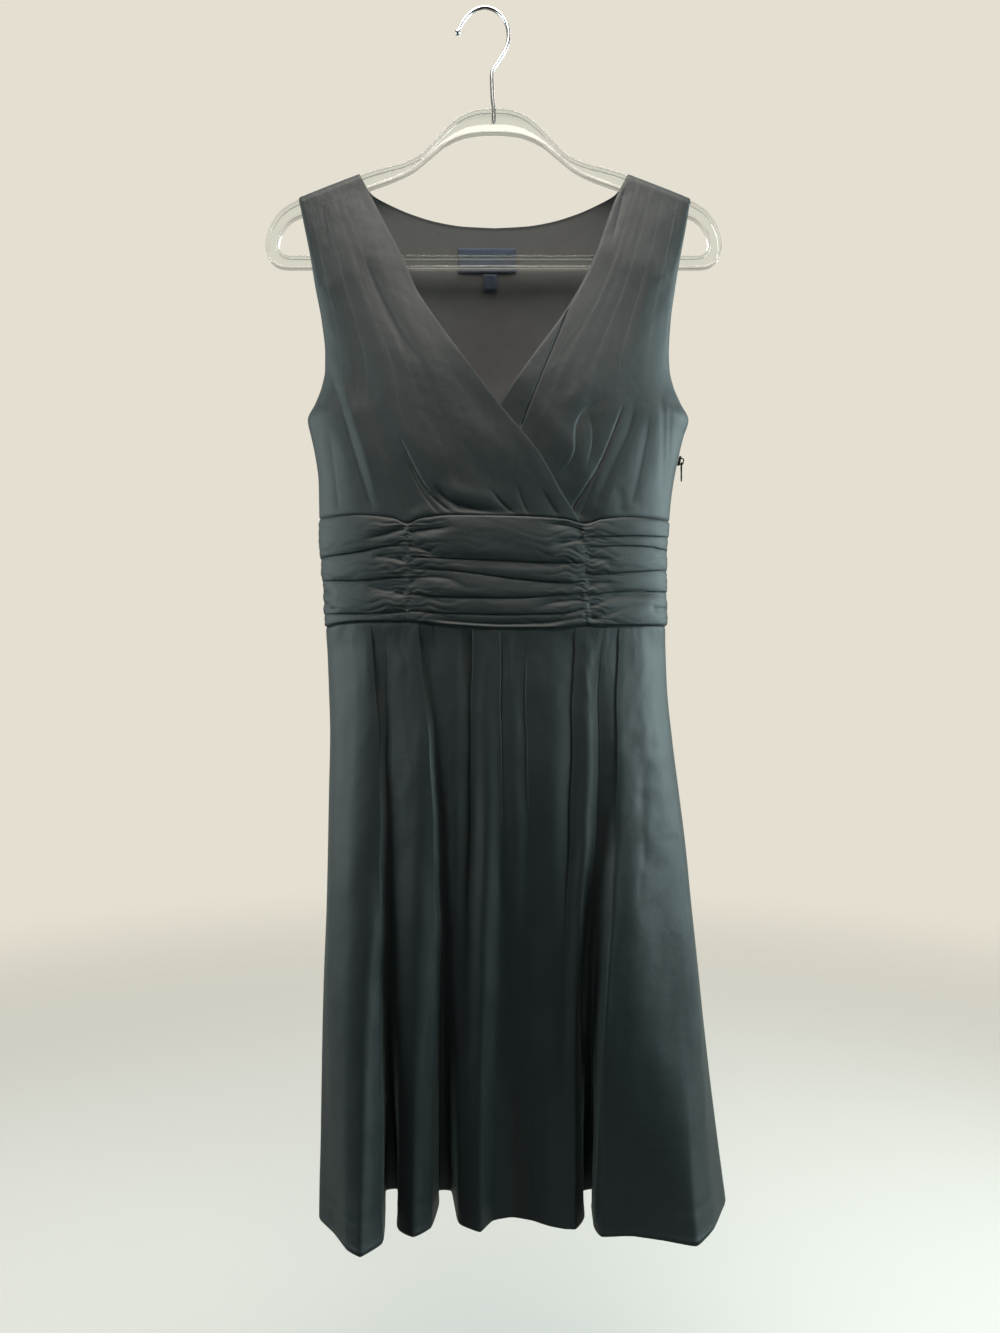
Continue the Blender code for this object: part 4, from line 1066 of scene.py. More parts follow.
TOP_FOLDS = (
    # Tucks that start at the band under the bust: each a thin deep line with a raised lip.
    Crease(((-79, 406), (-74, 416), (-61.5, 442), (-47.5, 463.5), (-27, 481)), 0.4, 6, 5, 0.2,
           (0.3, 0.02), 1, 1.5),
    Crease(((-72, 425), (-56.5, 458.5), (-39, 482)), 0.3, 4.6, 4.6, 0.2, (0.35, 0.02), 1, 1.2),
    Crease(((-46, 452), (-32, 467), (-6, 477), (28, 481.5)), 2.4, 5, 2.6, 0.9, (0.22, 0.05), 0.9, 1),
    Crease(((-40, 450), (-24, 460), (0, 466), (24, 473)), -0.8, 5.5, 4.5, 0, (0.3, 0.4), 1.6),
    Crease(((29.5, 454), (34, 468), (40, 482)), 0.3, 3.2, 3.2, 0.2, (0.4, 0.02), 0.8, 1),
    Crease(((4, 456), (15, 470), (29, 482)), 0.3, 3.6, 3.6, 0.2, (0.5, 0.02), 0.8, 1),
    Crease(((-27, 468), (-22, 475), (-12, 482)), 0.3, 2.6, 2.6, 0.2, (0.4, 0.02), 0.8, 1),
    # The long soft fold from the shoulder and the ones beside it.
    Crease(((-128, 288), (-112, 338), (-97.5, 387), (-90, 411), (-75.5, 441.5), (-57, 481)), 1.2, 9, 8,
           0, (0.3, 0.05), 2.4),
    Crease(((-139, 330), (-122, 388), (-111.5, 421.5), (-98, 470)), -0.9, 4.6, 6, 0.3, (0.3, 0.25), 2),
    Crease(((-150, 330), (-133.5, 374), (-122, 412), (-111, 448.5), (-101, 479)), 0.9, 5, 4.4, -0.4,
           (0.25, 0.1), 1.5),
    Crease(((-116, 225), (-101.5, 261.5), (-87, 292), (-69, 325), (-46, 352)), 0.8, 8, 6, 0.4,
           (0.3, 0.4), 2),
    Crease(((-150, 183), (-147, 205), (-143, 232)), 0.5, 3.6, 3.6, 0.3, (0.3, 0.4), 1.2),
    Crease(((-153.5, 392), (-153, 440), (-152, 478)), 0.5, 2, 2.4, 0.2, (0.15, 0.05)),
    Crease(((-142, 395), (-137, 430), (-131, 478)), 0.6, 4, 5, 0.3, (0.3, 0.1), 1.4),
    Crease(((-60, 300), (-20, 360), (20, 412), (52, 448)), 0.6, 7, 9, 0, (0.4, 0.4), 3),
    Crease(((-78, 350), (-40, 405), (6, 446), (50, 470)), 0.8, 10, 12, 0, (0.4, 0.4), 3),
    Crease(((50, 456), (58, 469), (66, 482)), 0.5, 3.4, 3.4, 0.3, (0.5, 0.02), 1, 0.5),
)
UNDER_FOLDS = (
    Crease(((126, 376), (124, 384), (114.5, 410.5), (103, 437), (80, 474), (76, 482)), 0.3, 6, 6, 0,
           (0.25, 0.02), 1, 1.5),
    Crease(((106, 430), (97, 456), (86, 482)), 0.4, 3.6, 3.6, 0.2, (0.4, 0.02), 0.9, 0.8),
    Crease(((92, 386), (96.5, 402), (96.5, 418), (90.5, 444)), 0.6, 5, 5, -0.2, (0.3, 0.4), 1.4, 0.4),
    Crease(((112, 370), (100, 380.5), (87, 390.5), (82, 402.5), (80, 428), (62.5, 450)), 0.7, 6, 9, -0.5,
           (0.35, 0.25), 1.4, 0.7),
    Crease(((162, 366), (163.5, 405), (164, 472)), 0.7, 2.8, 2.8, 0, (0.15, 0.2), 0.9),
    Crease(((169, 372), (169.5, 405), (168, 470)), 0.5, 2, 2, 0, (0.2, 0.2)),
    Crease(((131, 172), (125, 198), (117, 230)), 0.7, 2.8, 2.8, 0.4, (0.15, 0.3), 0.9),
    # The edge of the facing that is turned in along the neckline, pressed through.
    Crease(((77, 290), (62.5, 326), (46, 367), (31, 406)), 0.2, 5, 6, 0, (0.06, 0.06), 0.8, 1.5, 0.7),
    Crease(((140, 366), (131.5, 403.5), (115, 440), (100, 476)), 0.8, 5, 5, 0.4, (0.3, 0.1), 1.6),
    Crease(((152, 380), (146, 420), (134, 474)), 0.7, 5, 6, 0.3, (0.3, 0.1), 1.6),
    Crease(((140, 236), (132, 285), (118, 335)), 0.8, 9, 9, 0, (0.4, 0.4), 3),
    Crease(((166, 250), (160, 300), (152, 345)), 0.8, 8, 8, 0, (0.4, 0.4), 3),
    Crease(((110, 348), (92, 366), (68, 392)), -0.8, 8, 8, 0, (0.4, 0.4), 3),
    Crease(((118, 452), (124, 466), (122, 482)), 0.6, 4, 4, 0, (0.5, 0.02), 1.2),
)


FRONTS = (
    CrossFront("bodice_front_right", Side.MINUS_X, TOP_EDGE, TOP_FOLDS,
               (Crumple(31, 55.0, 80.0, 0.5, -25.0), Crumple(33, 17.0, 30.0, 0.2, -25.0)),
               (0.30, 0.36)),
    CrossFront("bodice_front_left", Side.PLUS_X, UNDER_EDGE, UNDER_FOLDS,
               (Crumple(35, 50.0, 80.0, 0.5, 25.0), Crumple(37, 17.0, 30.0, 0.2, 25.0)),
               (0.29, 0.36), UnderLap(), neck_turn=1.0),
)


@dataclass(frozen=True)
class BackBodice:
    """The one-piece back of the bodice with its scooped neckline."""

    name: str = "bodice_back"
    neckline: Track = Track((
        (0, 200.5), (30, 199), (55, 195), (80, 187.5), (102, 177.6), (113, 171.5),
        (120, 165), (126, 156)))
    creases: tuple[Crease, ...] = (
        Crease(((-74, 352), (-66, 410), (-56, 480)), 3, 8, 8, 0, (0.4, 0.04), 1.5),
        Crease(((92, 346), (84, 410), (72, 480)), 3, 8, 8, 0, (0.4, 0.04), 1.5),
        Crease(((-122, 322), (-108, 380), (-94, 444)), 1.6, 10, 10, 0, (0.4, 0.4), 3),
        Crease(((138, 330), (128, 390), (116, 456)), 1.6, 10, 10, 0, (0.4, 0.4), 3),
        Crease(((-30, 402), (-26, 440), (-18, 479)), 1.3, 6, 7, 0, (0.4, 0.04), 1.5),
        Crease(((44, 410), (38, 446), (34, 479)), 1.2, 7, 6, 0, (0.4, 0.04), 1.5),
    )
    crumples: tuple[Crumple, ...] = (
        Crumple(41, 60, 90, 0.7), Crumple(43, 22, 34, 0.16, 20),
    )
    cut: Pair = (0.40, 0.33)
    share: float = 0.8
    rows: int = 85
    neck_columns: int = 70
    side_columns: int = 26
    # Distances of the closer columns from the ends of the neckline.
    corner: tuple[float, ...] = (0.15, 0.4, 0.8, 1.4, 2.2, 3.2)
    # Drop at which the columns are laid out.
    level: float = 165.0
    folded: Inside = Inside(7.0, 20.0, 0.05)

    def build(self, form: BodyForm, shop: ClothShop) -> Piece:
        """Make the back.

        Args:
            form: The form that it lies on.
            shop: Makes its shell.

        Returns:
            The piece.
        """
        left, right = form.edges(self.level)
        middle, half = (left + right) / 2, (right - left) / 2
        neck = [(form.centre_x + side * form.neck_half - middle) / half for side in (-1, 1)]
        corner = np.array(self.corner) / half
        inner = crowded(self.neck_columns, (0.03,), (0.03,))
        sides = 1.0 - np.cos(np.linspace(0.0, 1.0, self.side_columns) * math.pi / 2)
        parts = np.concatenate([
            -1.0 + (neck[0] + 1.0) * sides, neck[0] + corner,
            mix(neck[0], neck[1], inner)[1:-1], neck[1] - corner[::-1],
            1.0 - (1.0 - neck[1]) * sides[::-1]])
        across = middle + half * parts
        from_centre = np.abs(across - form.centre_x)
        top = np.where(from_centre >= form.neck_half, form.shoulder_seam(across),
                       self.neckline(from_centre))
        down = crowded(self.rows, SHOULDER_ROWS, SEAM_ROWS)[:, None]
        drop = mix(top, form.back_band_top, down)
        u = parts + 0.0 * drop
        x = mix(*form.edges(drop), (u + 1.0) / 2)
        points = np.stack([x, form.surface(x, drop, Face.BACK), -drop], axis=2)
        push = (sum(fold.push(x, drop) for fold in self.creases + self.crumples)
                * self.folded(drop, top, form.back_band_top, u))
        points, push = points[:, ::-1], push[:, ::-1]
        roll = EdgeRoll(top=0.6, bottom=1.0, start=0.7, end=0.7).push(points)
        points = points + normals_of(points) * roll[..., None]
        points[..., 1] += push
        return shop.panel(self.name, points, self.cut, "hung", self.share)


# ======== waistband
@dataclass(frozen=True)
class BandPanel:
    """A ruched panel: puffs between sharp valleys, pinched where its ends are gathered."""

    name: str
    start: float | None
    end: float | None
    valleys: tuple[Track, ...]
    creases: tuple[Crease, ...]
    gathers: tuple[Gathers, Gathers]
    cut: Pair
    face: Face = Face.FRONT
    seed: int = 11
    columns: int = 110
    rows: int = 150
    # How much closer together the columns are at a side seam, and how even the rows of a puff are.
    crowding: float = 0.8
    evenness: float = 0.35
    # Drop at which its free ends are measured.
    level: float = 530.0
    # Most height of a puff, and how it grows with the distance between valleys.
    puff: float = 3.0
    growth: Pair = (0.08, 0.9)
    # How a puff swells from the valley above it, and how steeply it ends over the one below.
    rise: float = 0.7
    fall: float = 0.28
    # How far it sags over that valley, and from how near.
    sag: float = 0.9
    sag_reach: float = 1.6
    # How much the gathered ends flatten it, over what width, and the width of the seam there.
    pinch: float = 0.65
    pinch_width: float = 8.0
    seam_width: float = 2.2
    # Height and width of the lip beside that seam, and width of the puckers of a side seam.
    lip: float = 0.9
    lip_width: float = 3.0
    frill_width: float = 5.0
    # Distances from the long seams and from the ends over which its folds die away.
    settling: Pair = (4.0, 2.4)

    def seams(self, form: BodyForm) -> tuple[Callable[[Array], Array], Callable[[Array], Array]]:
        """The upper and the lower seam as functions of x."""
        if self.face is Face.FRONT:
            return form.band_top, form.band_bottom
        return (lambda x: form.back_band_top + 0.0 * x), (lambda x: form.waist + 0.0 * x)

    def waver(self, drop: Array, seam: float) -> Array:
        """How the gathered cloth pulls a seam from side to side, alike on both of its panels."""
        return (0.55 * swell(drop / 3.1, np.full_like(drop, seam / 7.0), 91)
                + 0.8 * swell(drop / 11.0, np.full_like(drop, seam / 9.0), 93))

    def frill(self, drop: Array, seed: int) -> Array:
        """How far the puckered side seam lies inside the silhouette."""
        small = 0.5 + 0.5 * swell(drop / 2.6, drop * 0.0, seed)
        return 0.75 * small + 0.5 * (0.5 + 0.5 * swell(drop / 7.5, drop * 0.0, seed + 2))

    def build(self, form: BodyForm, shop: ClothShop) -> Piece:
        """Make the panel.

        Args:
            form: The form that it lies on.
            shop: Makes its shell.

        Returns:
            The piece.
        """
        parts = crowded(self.columns, SEAM_ROWS, SEAM_ROWS)
        if self.start is None and self.end is None:
            parts = mix(parts, (1.0 - np.cos(parts * math.pi)) / 2, self.crowding)
        elif self.start is None:
            parts = mix(parts, 1.0 - np.cos(parts * math.pi / 2), self.crowding)
        elif self.end is None:
            parts = mix(parts, np.sin(parts * math.pi / 2), self.crowding)
        sides = (self.start, self.end)
        base_x = mix(*(edge if end is None else end
                       for edge, end in zip(form.edges(self.level), sides)), parts)
        upper, lower = self.seams(form)
        lines = [upper(base_x), *(valley(base_x) for valley in self.valleys), lower(base_x)]
        drops, puffs = [], []
        for k in range(len(lines) - 1):
            height = lines[k + 1] - lines[k]
            count = max(10, int(self.rows * height.mean() / (form.waist - form.back_band_top)))
            t = (1.0 - np.cos(np.linspace(0.0, math.pi, count + 1))) / 2
            t = mix(t, np.linspace(0.0, 1.0, count + 1), self.evenness)
            t = (t if k == len(lines) - 2 else t[:-1])[:, None]
            crest = t ** self.rise * (1.0 - t) ** self.fall
            over = bell((1.0 - t) * height, self.sag_reach) * (k < len(lines) - 2)
            drops.append(lines[k] + height * t + self.sag * over)
            most = np.minimum(self.growth[0] * height + self.growth[1], self.puff)
            puffs.append(most * crest / crest.max())
        drop, puff = np.concatenate(drops), np.concatenate(puffs)
        x = mix(*(edge if end is None else end + self.waver(drop, end)
                  for edge, end in zip(form.edges(drop), sides)), parts + 0.0 * drop)
        points = np.stack([x, form.surface(x, drop, self.face), -drop], axis=2)
        if self.face is Face.BACK:
            points, puff, x, drop = (a[:, ::-1] for a in (points, puff, x, drop))
        across = lengths_along(points, 1)
        ends = (across, across[:, -1:] - across)
        pinch = np.ones_like(x)
        push = np.zeros_like(x)
        for away, gathers in zip(ends, self.gathers):
            pinch *= 1.0 - self.pinch * np.exp(-(away / self.pinch_width) ** 1.4)
            pinch *= 1.0 - bell(away, self.seam_width)
            push += gathers.push(away, drop) + self.lip * bell(away, self.lip_width)
        seam_far = np.minimum(drop - upper(x), lower(x) - drop)
        settle = ramp(seam_far / self.settling[0])
        free = 1.0 - sum(bell(away, self.settling[1]) for away in ends)
        fold = sum(crease.push(x, drop) for crease in self.creases) * free
        crumple = Crumple(self.seed, 42.0, 14.0, 0.3, 5.0).push(x, drop)
        height = puff * pinch + (push + fold + crumple * pinch) * settle
        height += EdgeRoll(top=0.5, bottom=1.0, width=1.0).push(points)
        points = points + normals_of(points) * height[..., None]
        for side, end in zip(Side, sides):
            if end is None:
                away = ends[(side is Side.PLUS_X) != (self.face is Face.BACK)]
                points[..., 0] -= (side.value * self.frill(drop, 84 + 3 * side.value)
                                   * bell(away, self.frill_width))
        return shop.panel(self.name, points, self.cut, "gathered")


BAND_PANELS = (
    BandPanel(
        "waistband_front_centre", -69, 90.5,
        (Track(((-69.5, 517), (-40.5, 519), (13, 521.5), (58, 523.5), (90.5, 523))),
         Track(((-69.5, 528), (-39, 529.5), (-4, 533.5), (28.5, 538), (77.5, 541.5), (90.5, 540))),
         Track(((-69.5, 550), (-40.5, 554), (26.5, 555), (71.5, 552), (90.5, 550))),
         Track(((-69.5, 565.5), (-40.5, 568.5), (17.5, 570), (67, 569), (90.5, 564.5)))),
        (Crease(((-69, 496.5), (-53, 494), (-24, 491)), 2.2, 4, 3.4, 0.9, (0.02, 0.5), 0.6),
         Crease(((56, 509.5), (74, 504.5), (90.5, 500.5)), 2, 4, 3.6, 0.7, (0.5, 0.02), 0.6),
         Crease(((50, 488.5), (73, 490), (90.5, 494.5)), 1.6, 3.4, 3, 0.6, (0.5, 0.02), 0.6),
         Crease(((-69, 508), (-55, 511), (-38, 519)), 1.8, 3.2, 3.6, 0.6, (0.02, 0.4), 0.6),
         Crease(((-69, 541), (-52, 536), (-30, 538), (-12, 546)), 1.6, 4, 4, 0.6, (0.02, 0.5)),
         Crease(((40, 566), (62, 559), (90.5, 556)), 1.4, 3.4, 3.4, 0.5, (0.5, 0.02), 0.6),
         Crease(((-57.5, 573), (-22, 576.5), (14, 578.5), (67.5, 576), (89.5, 571)), 1.6, 3, 3, 0.6,
                (0.2, 0.2), 0.7)),
        (Gathers(101), Gathers(131)), (0.162, 0.14), seed=13, columns=165, rows=180),
    BandPanel(
        "waistband_front_right", None, -69,
        (Track(((-153, 516), (-116, 513), (-81.5, 507.5), (-69, 507.5))),
         Track(((-153, 537), (-113, 538.5), (-69, 535.5))),
         Track(((-150, 568), (-108.5, 568.5), (-69, 567.5)))),
        (Crease(((-114, 502), (-96, 499), (-69, 492)), 1.8, 3.6, 3.4, 0.6, (0.5, 0.02), 0.6),
         Crease(((-102, 516.5), (-86, 518.5), (-69, 522)), 1.8, 3.4, 3.4, 0.5, (0.4, 0.02), 0.7),
         Crease(((-110, 543), (-90, 547), (-69, 552)), 1.7, 3.4, 3.4, 0.5, (0.4, 0.02), 0.7),
         Crease(((-152, 545), (-146, 548), (-134, 554)), 1.3, 3, 3, 0.4, (0.1, 0.4), 0.6),
         Crease(((-152, 555), (-145, 560), (-132, 567)), 1.3, 3, 3, 0.4, (0.1, 0.4), 0.6)),
        (Gathers(151, height=0.6, reach=3), Gathers(101)), (0.1, 0.14), seed=17, columns=95, rows=165),
    BandPanel(
        "waistband_front_left", 90.5, None,
        (Track(((90.5, 500.5), (116, 499), (168, 496.5))),
         Track(((90.5, 509.5), (118, 507.5), (141.5, 507), (168.5, 508.5))),
         Track(((90.5, 534.5), (125.5, 531.5), (169, 527))),
         Track(((90.5, 553.5), (111.5, 550), (169, 547.5)))),
        (Crease(((90.5, 563), (102, 560), (114, 554.5), (161.5, 549)), 1.6, 3.6, 3, 0.5, (0.05, 0.3),
                0.6),
         Crease(((92, 575), (120, 566), (149.5, 555)), 1.5, 4, 4, 0.5, (0.1, 0.4)),
         Crease(((90.5, 520), (104, 519), (122, 522)), 1.3, 3.2, 3.2, 0.4, (0.02, 0.5), 0.7),
         Crease(((90.5, 543), (104, 541), (126, 542)), 1.2, 3.2, 3.2, 0.4, (0.02, 0.5), 0.7),
         Crease(((148, 566), (158, 563), (169, 563)), 1.2, 3.4, 3.4, 0.4, (0.4, 0.05), 0.7)),
        (Gathers(131), Gathers(181, height=0.6, reach=3)), (0.098, 0.14), seed=19, columns=95, rows=165),
    BandPanel(
        "waistband_back", None, None,
        (Track(((-152, 499), (0, 497), (60, 500.5), (170, 496))),
         Track(((-152, 517), (-60, 514), (40, 518.5), (170, 515))),
         Track(((-152, 533), (-20, 536.5), (90, 532.5), (170, 536))),
         Track(((-152, 552), (-70, 555), (30, 551), (170, 553))),
         Track(((-152, 567), (0, 565.5), (170, 567.5)))),
        (Crease(((-150, 508), (-120, 507), (-84, 503)), 1.6, 3.6, 3.4, 0.5, (0.05, 0.5), 0.7),
         Crease(((60, 541), (110, 544), (168, 545)), 1.6, 3.6, 3.4, 0.5, (0.5, 0.05), 0.7),
         Crease(((-40, 525), (0, 527), (46, 526)), 1.3, 3.6, 3.4, 0.4, (0.4, 0.4)),
         Crease(((-150, 561), (-100, 560), (-60, 559)), 1.4, 3, 3, 0.4, (0.05, 0.5), 0.7)),
        (Gathers(191, height=0.6, reach=3), Gathers(195, height=0.6, reach=3)), (0.345, 0.14), Face.BACK,
        seed=23, columns=130, rows=95),
)


# ======== skirt
PLEAT_DROPS = (600.0, 715.0, 900.0, 1117.0)
# How much rounder than a straight run from fold to fold the section is at the waist and the hem, and
# the drop and the distance over which that changes.
ROUND_TOP, ROUND_HEM, ROUND_FROM, ROUND_OVER = 1.0, 0.45, 850.0, 250.0
# How far the pleats have closed up into flat cloth, down the skirt.
PLEAT_FLATNESS = Track(((579, 0.92), (640, 0.86), (715, 0.74), (830, 0.54), (960, 0.32),
                        (1050, 0.16), (1117, 0)))
# x and y of each crest, flank or valley at those four heights, from side seam to side seam.
PLEATS: Rows = (
    (-149.2, -1, -145.3, -9, -148.2, -22, -150.5, -34),
    (-139, -16, -137, -27, -139, -42, -133, -58),
    (-124, -27, -121, -39, -122, -61, -118, -83),
    (-111, -37, -106, -46, -104, -68, -104, -93.5),
    (-103, -37, -94.7, -43, -92.5, -55, -87, -72),
    (-94, -32, -90, -36, -90, -43, -90.5, -24),
    (-87.7, -29.5, -86.5, -31, -87, -32, -94, 13),
    (-81, -35, -80, -38, -82.5, -39, -82, 14),
    (-73, -43, -69, -49, -73, -53, -78, -50),
    (-66, -47, -58, -54, -59, -62, -62, -63.5),
    (-59.5, -43.5, -48.5, -50, -44.5, -50, -47, -48),
    (-55, -37.5, -45.5, -41, -41.5, -39, -43, -14),
    (-51, -34, -42, -35.5, -38, -30, -44.5, 14),
    (-43, -39.5, -35, -41, -31.5, -36, -31.5, 13),
    (-28.5, -45, -26, -48, -24.5, -44, -23, -40),
    (-10, -38, -11.3, -38.5, -14, -46, -13, -50),
    (2, -51, 1, -55, -2, -57, -3, -55.5),
    (13.5, -41, 14, -45.5, 12, -43, 8, -38),
    (25.5, -50, 26, -52, 26, -42, 25, -32.5),
    (37.5, -42, 38.5, -47, 41, -44, 42, -37.5),
    (61, -50, 60, -55, 59, -52, 57, -45.5),
    (82, -39.5, 78, -42.5, 71.5, -49.5, 71, -50.5),
    (93, -48, 90, -53, 82, -53.5, 81.5, -51),
    (99.5, -41, 97.5, -45, 87.5, -38, 90, -35),
    (104.8, -37, 102.3, -39.5, 92, -38, 92.5, 12),
    (108.5, -40, 106, -42.5, 97, -31, 104, 15),
    (113, -42, 110.5, -46, 101.5, -37, 98.5, -16),
    (121.5, -40, 118, -50, 107.5, -64, 97.5, -50),
    (129, -38, 125, -49, 114, -64, 103, -63.5),
    (138, -33, 137, -46, 134, -60, 131, -62),
    (148, -26, 150, -39, 156, -52, 160, -70),
    (158, -17.5, 163, -29, 178, -42, 184, -77),
    (165.5, -9.5, 172, -17, 192, -28, 205, -50),
    (169.5, -1, 178.5, -2, 199.8, -4, 225.8, -5),
)
# Depth of the side seams and of the back, down the skirt.
SKIRT_FORM = Track(((579, -1, -1, 19), (715, -9, -2, 28), (900, -22, -4, 34),
                    (1117, -34, -5, 38)))


@dataclass(frozen=True)
class Flap:
    """A pleat laid over its neighbour: the cloth on one side of a line lies on top.

    The line is one of the pleat lines, so that the grid follows it.
    """

    line: int
    over: Side
    # How far its top stands out and the cloth under it sinks, and over what widths.
    rise: float
    sink: float
    wide: float
    shade: float
    # How far it laps over, and the drops between which it comes in and dies away.
    overlap: float
    start: Pair
    end: Pair
    edge_width: float = 1.6
    # How far the cloth under it is drawn along.
    drawn: float = -0.35

    def push(self, at: Array, x: Array, drop: Array) -> tuple[Array, Array]:
        """How far the cloth stands out, and how far it is pulled sideways.

        Args:
            at: Place of each column among the pleat lines.
            x: Places across, rows by columns.
            drop: Places down, of the same shape.

        Returns:
            Millimetres outwards and millimetres to +X.
        """
        edge = int(np.argmin(np.abs(at - self.line)))
        far = (x - x[:, edge:edge + 1]) * self.over.value
        far = np.where((at - self.line) * self.over.value >= -1e-6, np.maximum(far, 0.0),
                       np.minimum(far, -0.001))
        top, under = far >= 0.0, far < 0.0
        kept = (ramp((drop - self.start[0]) / (self.start[1] - self.start[0]))
                * ramp((self.end[1] - drop) / (self.end[1] - self.end[0])))
        out = np.where(top, self.rise * np.exp(-far / self.wide), 0.0)
        out -= np.where(under, self.sink * np.exp(far / self.shade), 0.0)
        over = np.where(top, 1.0, self.drawn) * bell(far, self.edge_width)
        return out * kept, -self.over.value * self.overlap * over * kept


FLAPS = (
    Flap(4, Side.MINUS_X, 0.5, 1.6, 16, 9, 1, (574, 600), (740, 900)),
    Flap(6, Side.PLUS_X, 0.2, 0.7, 10, 5, 0.5, (592, 640), (740, 880)),
    Flap(10, Side.MINUS_X, 0.5, 1.9, 12, 9, 1, (574, 600), (740, 900)),
    Flap(15, Side.PLUS_X, 0.5, 1.8, 10, 7, 0.9, (579, 600), (800, 940)),
    Flap(17, Side.MINUS_X, 0.1, 0.8, 8, 5, 0.6, (579, 610), (660, 800)),
    Flap(19, Side.PLUS_X, 0.2, 0.8, 8, 5, 0.3, (584, 640), (690, 800)),
    Flap(21, Side.PLUS_X, 0.4, 1.2, 9, 7, 0.8, (579, 600), (760, 900)),
    Flap(24, Side.PLUS_X, 0.1, 0.5, 5, 4, 0.3, (588, 630), (740, 860)),
    Flap(27, Side.PLUS_X, 0.4, 1.3, 18, 8, 0.6, (576, 600), (860, 1020)),
)
SKIRT_FOLDS = (
    Crease(((-44, 578), (-43, 592), (-41, 612)), 0.5, 2, 2, 0.5, (0.02, 0.6), 0.6),
    Crease(((-19, 580), (-18, 612), (-18, 660)), 0.5, 2.4, 2.4, 0.3, (0.05, 0.6)),
    Crease(((22, 584), (21.5, 610), (22, 650)), -0.7, 2, 2.2, 0, (0.3, 0.4)),
    Crease(((47, 600), (48, 630), (50, 660)), -0.7, 2, 2.2, 0, (0.3, 0.4)),
    Crease(((89, 610), (91, 630), (94, 650)), -0.7, 2, 2.2, 0, (0.3, 0.4)),
    Crease(((154, 590), (162, 660), (170, 720), (178, 783), (188, 900), (194, 1010)), 0.5, 3, 3, 0.2,
           (0.3, 0.3), 1),
    Crease(((-128, 579), (-124, 640), (-124, 740)), 0.4, 5, 5, -0.2, (0.02, 0.6), 2),
    Crease(((140, 736), (144.5, 781), (140, 826), (146, 852)), 0.8, 3.4, 4.2, 0.4, (0.4, 0.4), 1),
    Crease(((150, 690), (143, 730), (146, 770)), 0.7, 4.4, 3.4, 0.3, (0.4, 0.4), 1),
    Crease(((156, 640), (163, 664), (160, 700)), 0.6, 4.4, 4.4, 0, (0.4, 0.4), 1.4),
)


@dataclass(frozen=True)
class SkirtPanel:
    """Shared sizes of the skirt's two panels."""

    rows: int = 180
    roll: EdgeRoll = EdgeRoll(top=1.0, bottom=0.7, start=0.7, end=0.7)
    # Distance above the hem, height and width of its rounded edge and of the line of its stitches.
    hem_lines: Rows = ((3.0, 0.5, 2.2), (26.0, -0.35, 1.6))

    def heights(self) -> Array:
        """Positions from the waist (0) to the hem (1), closer together at the waist and the hem."""
        down = np.linspace(0.0, 1.0, self.rows) ** 1.25
        return np.unique(np.concatenate([down, [0.0012, 0.003, 0.990, 0.9935, 0.9965, 0.9985]]))

    def hem_lift(self, drop: Array, form: BodyForm) -> Array:
        """How far the hem stands out: its rounded edge, and the line where it is sewn up."""
        return sum(height * bell(form.hem - drop - above, width)
                   for above, height, width in self.hem_lines)


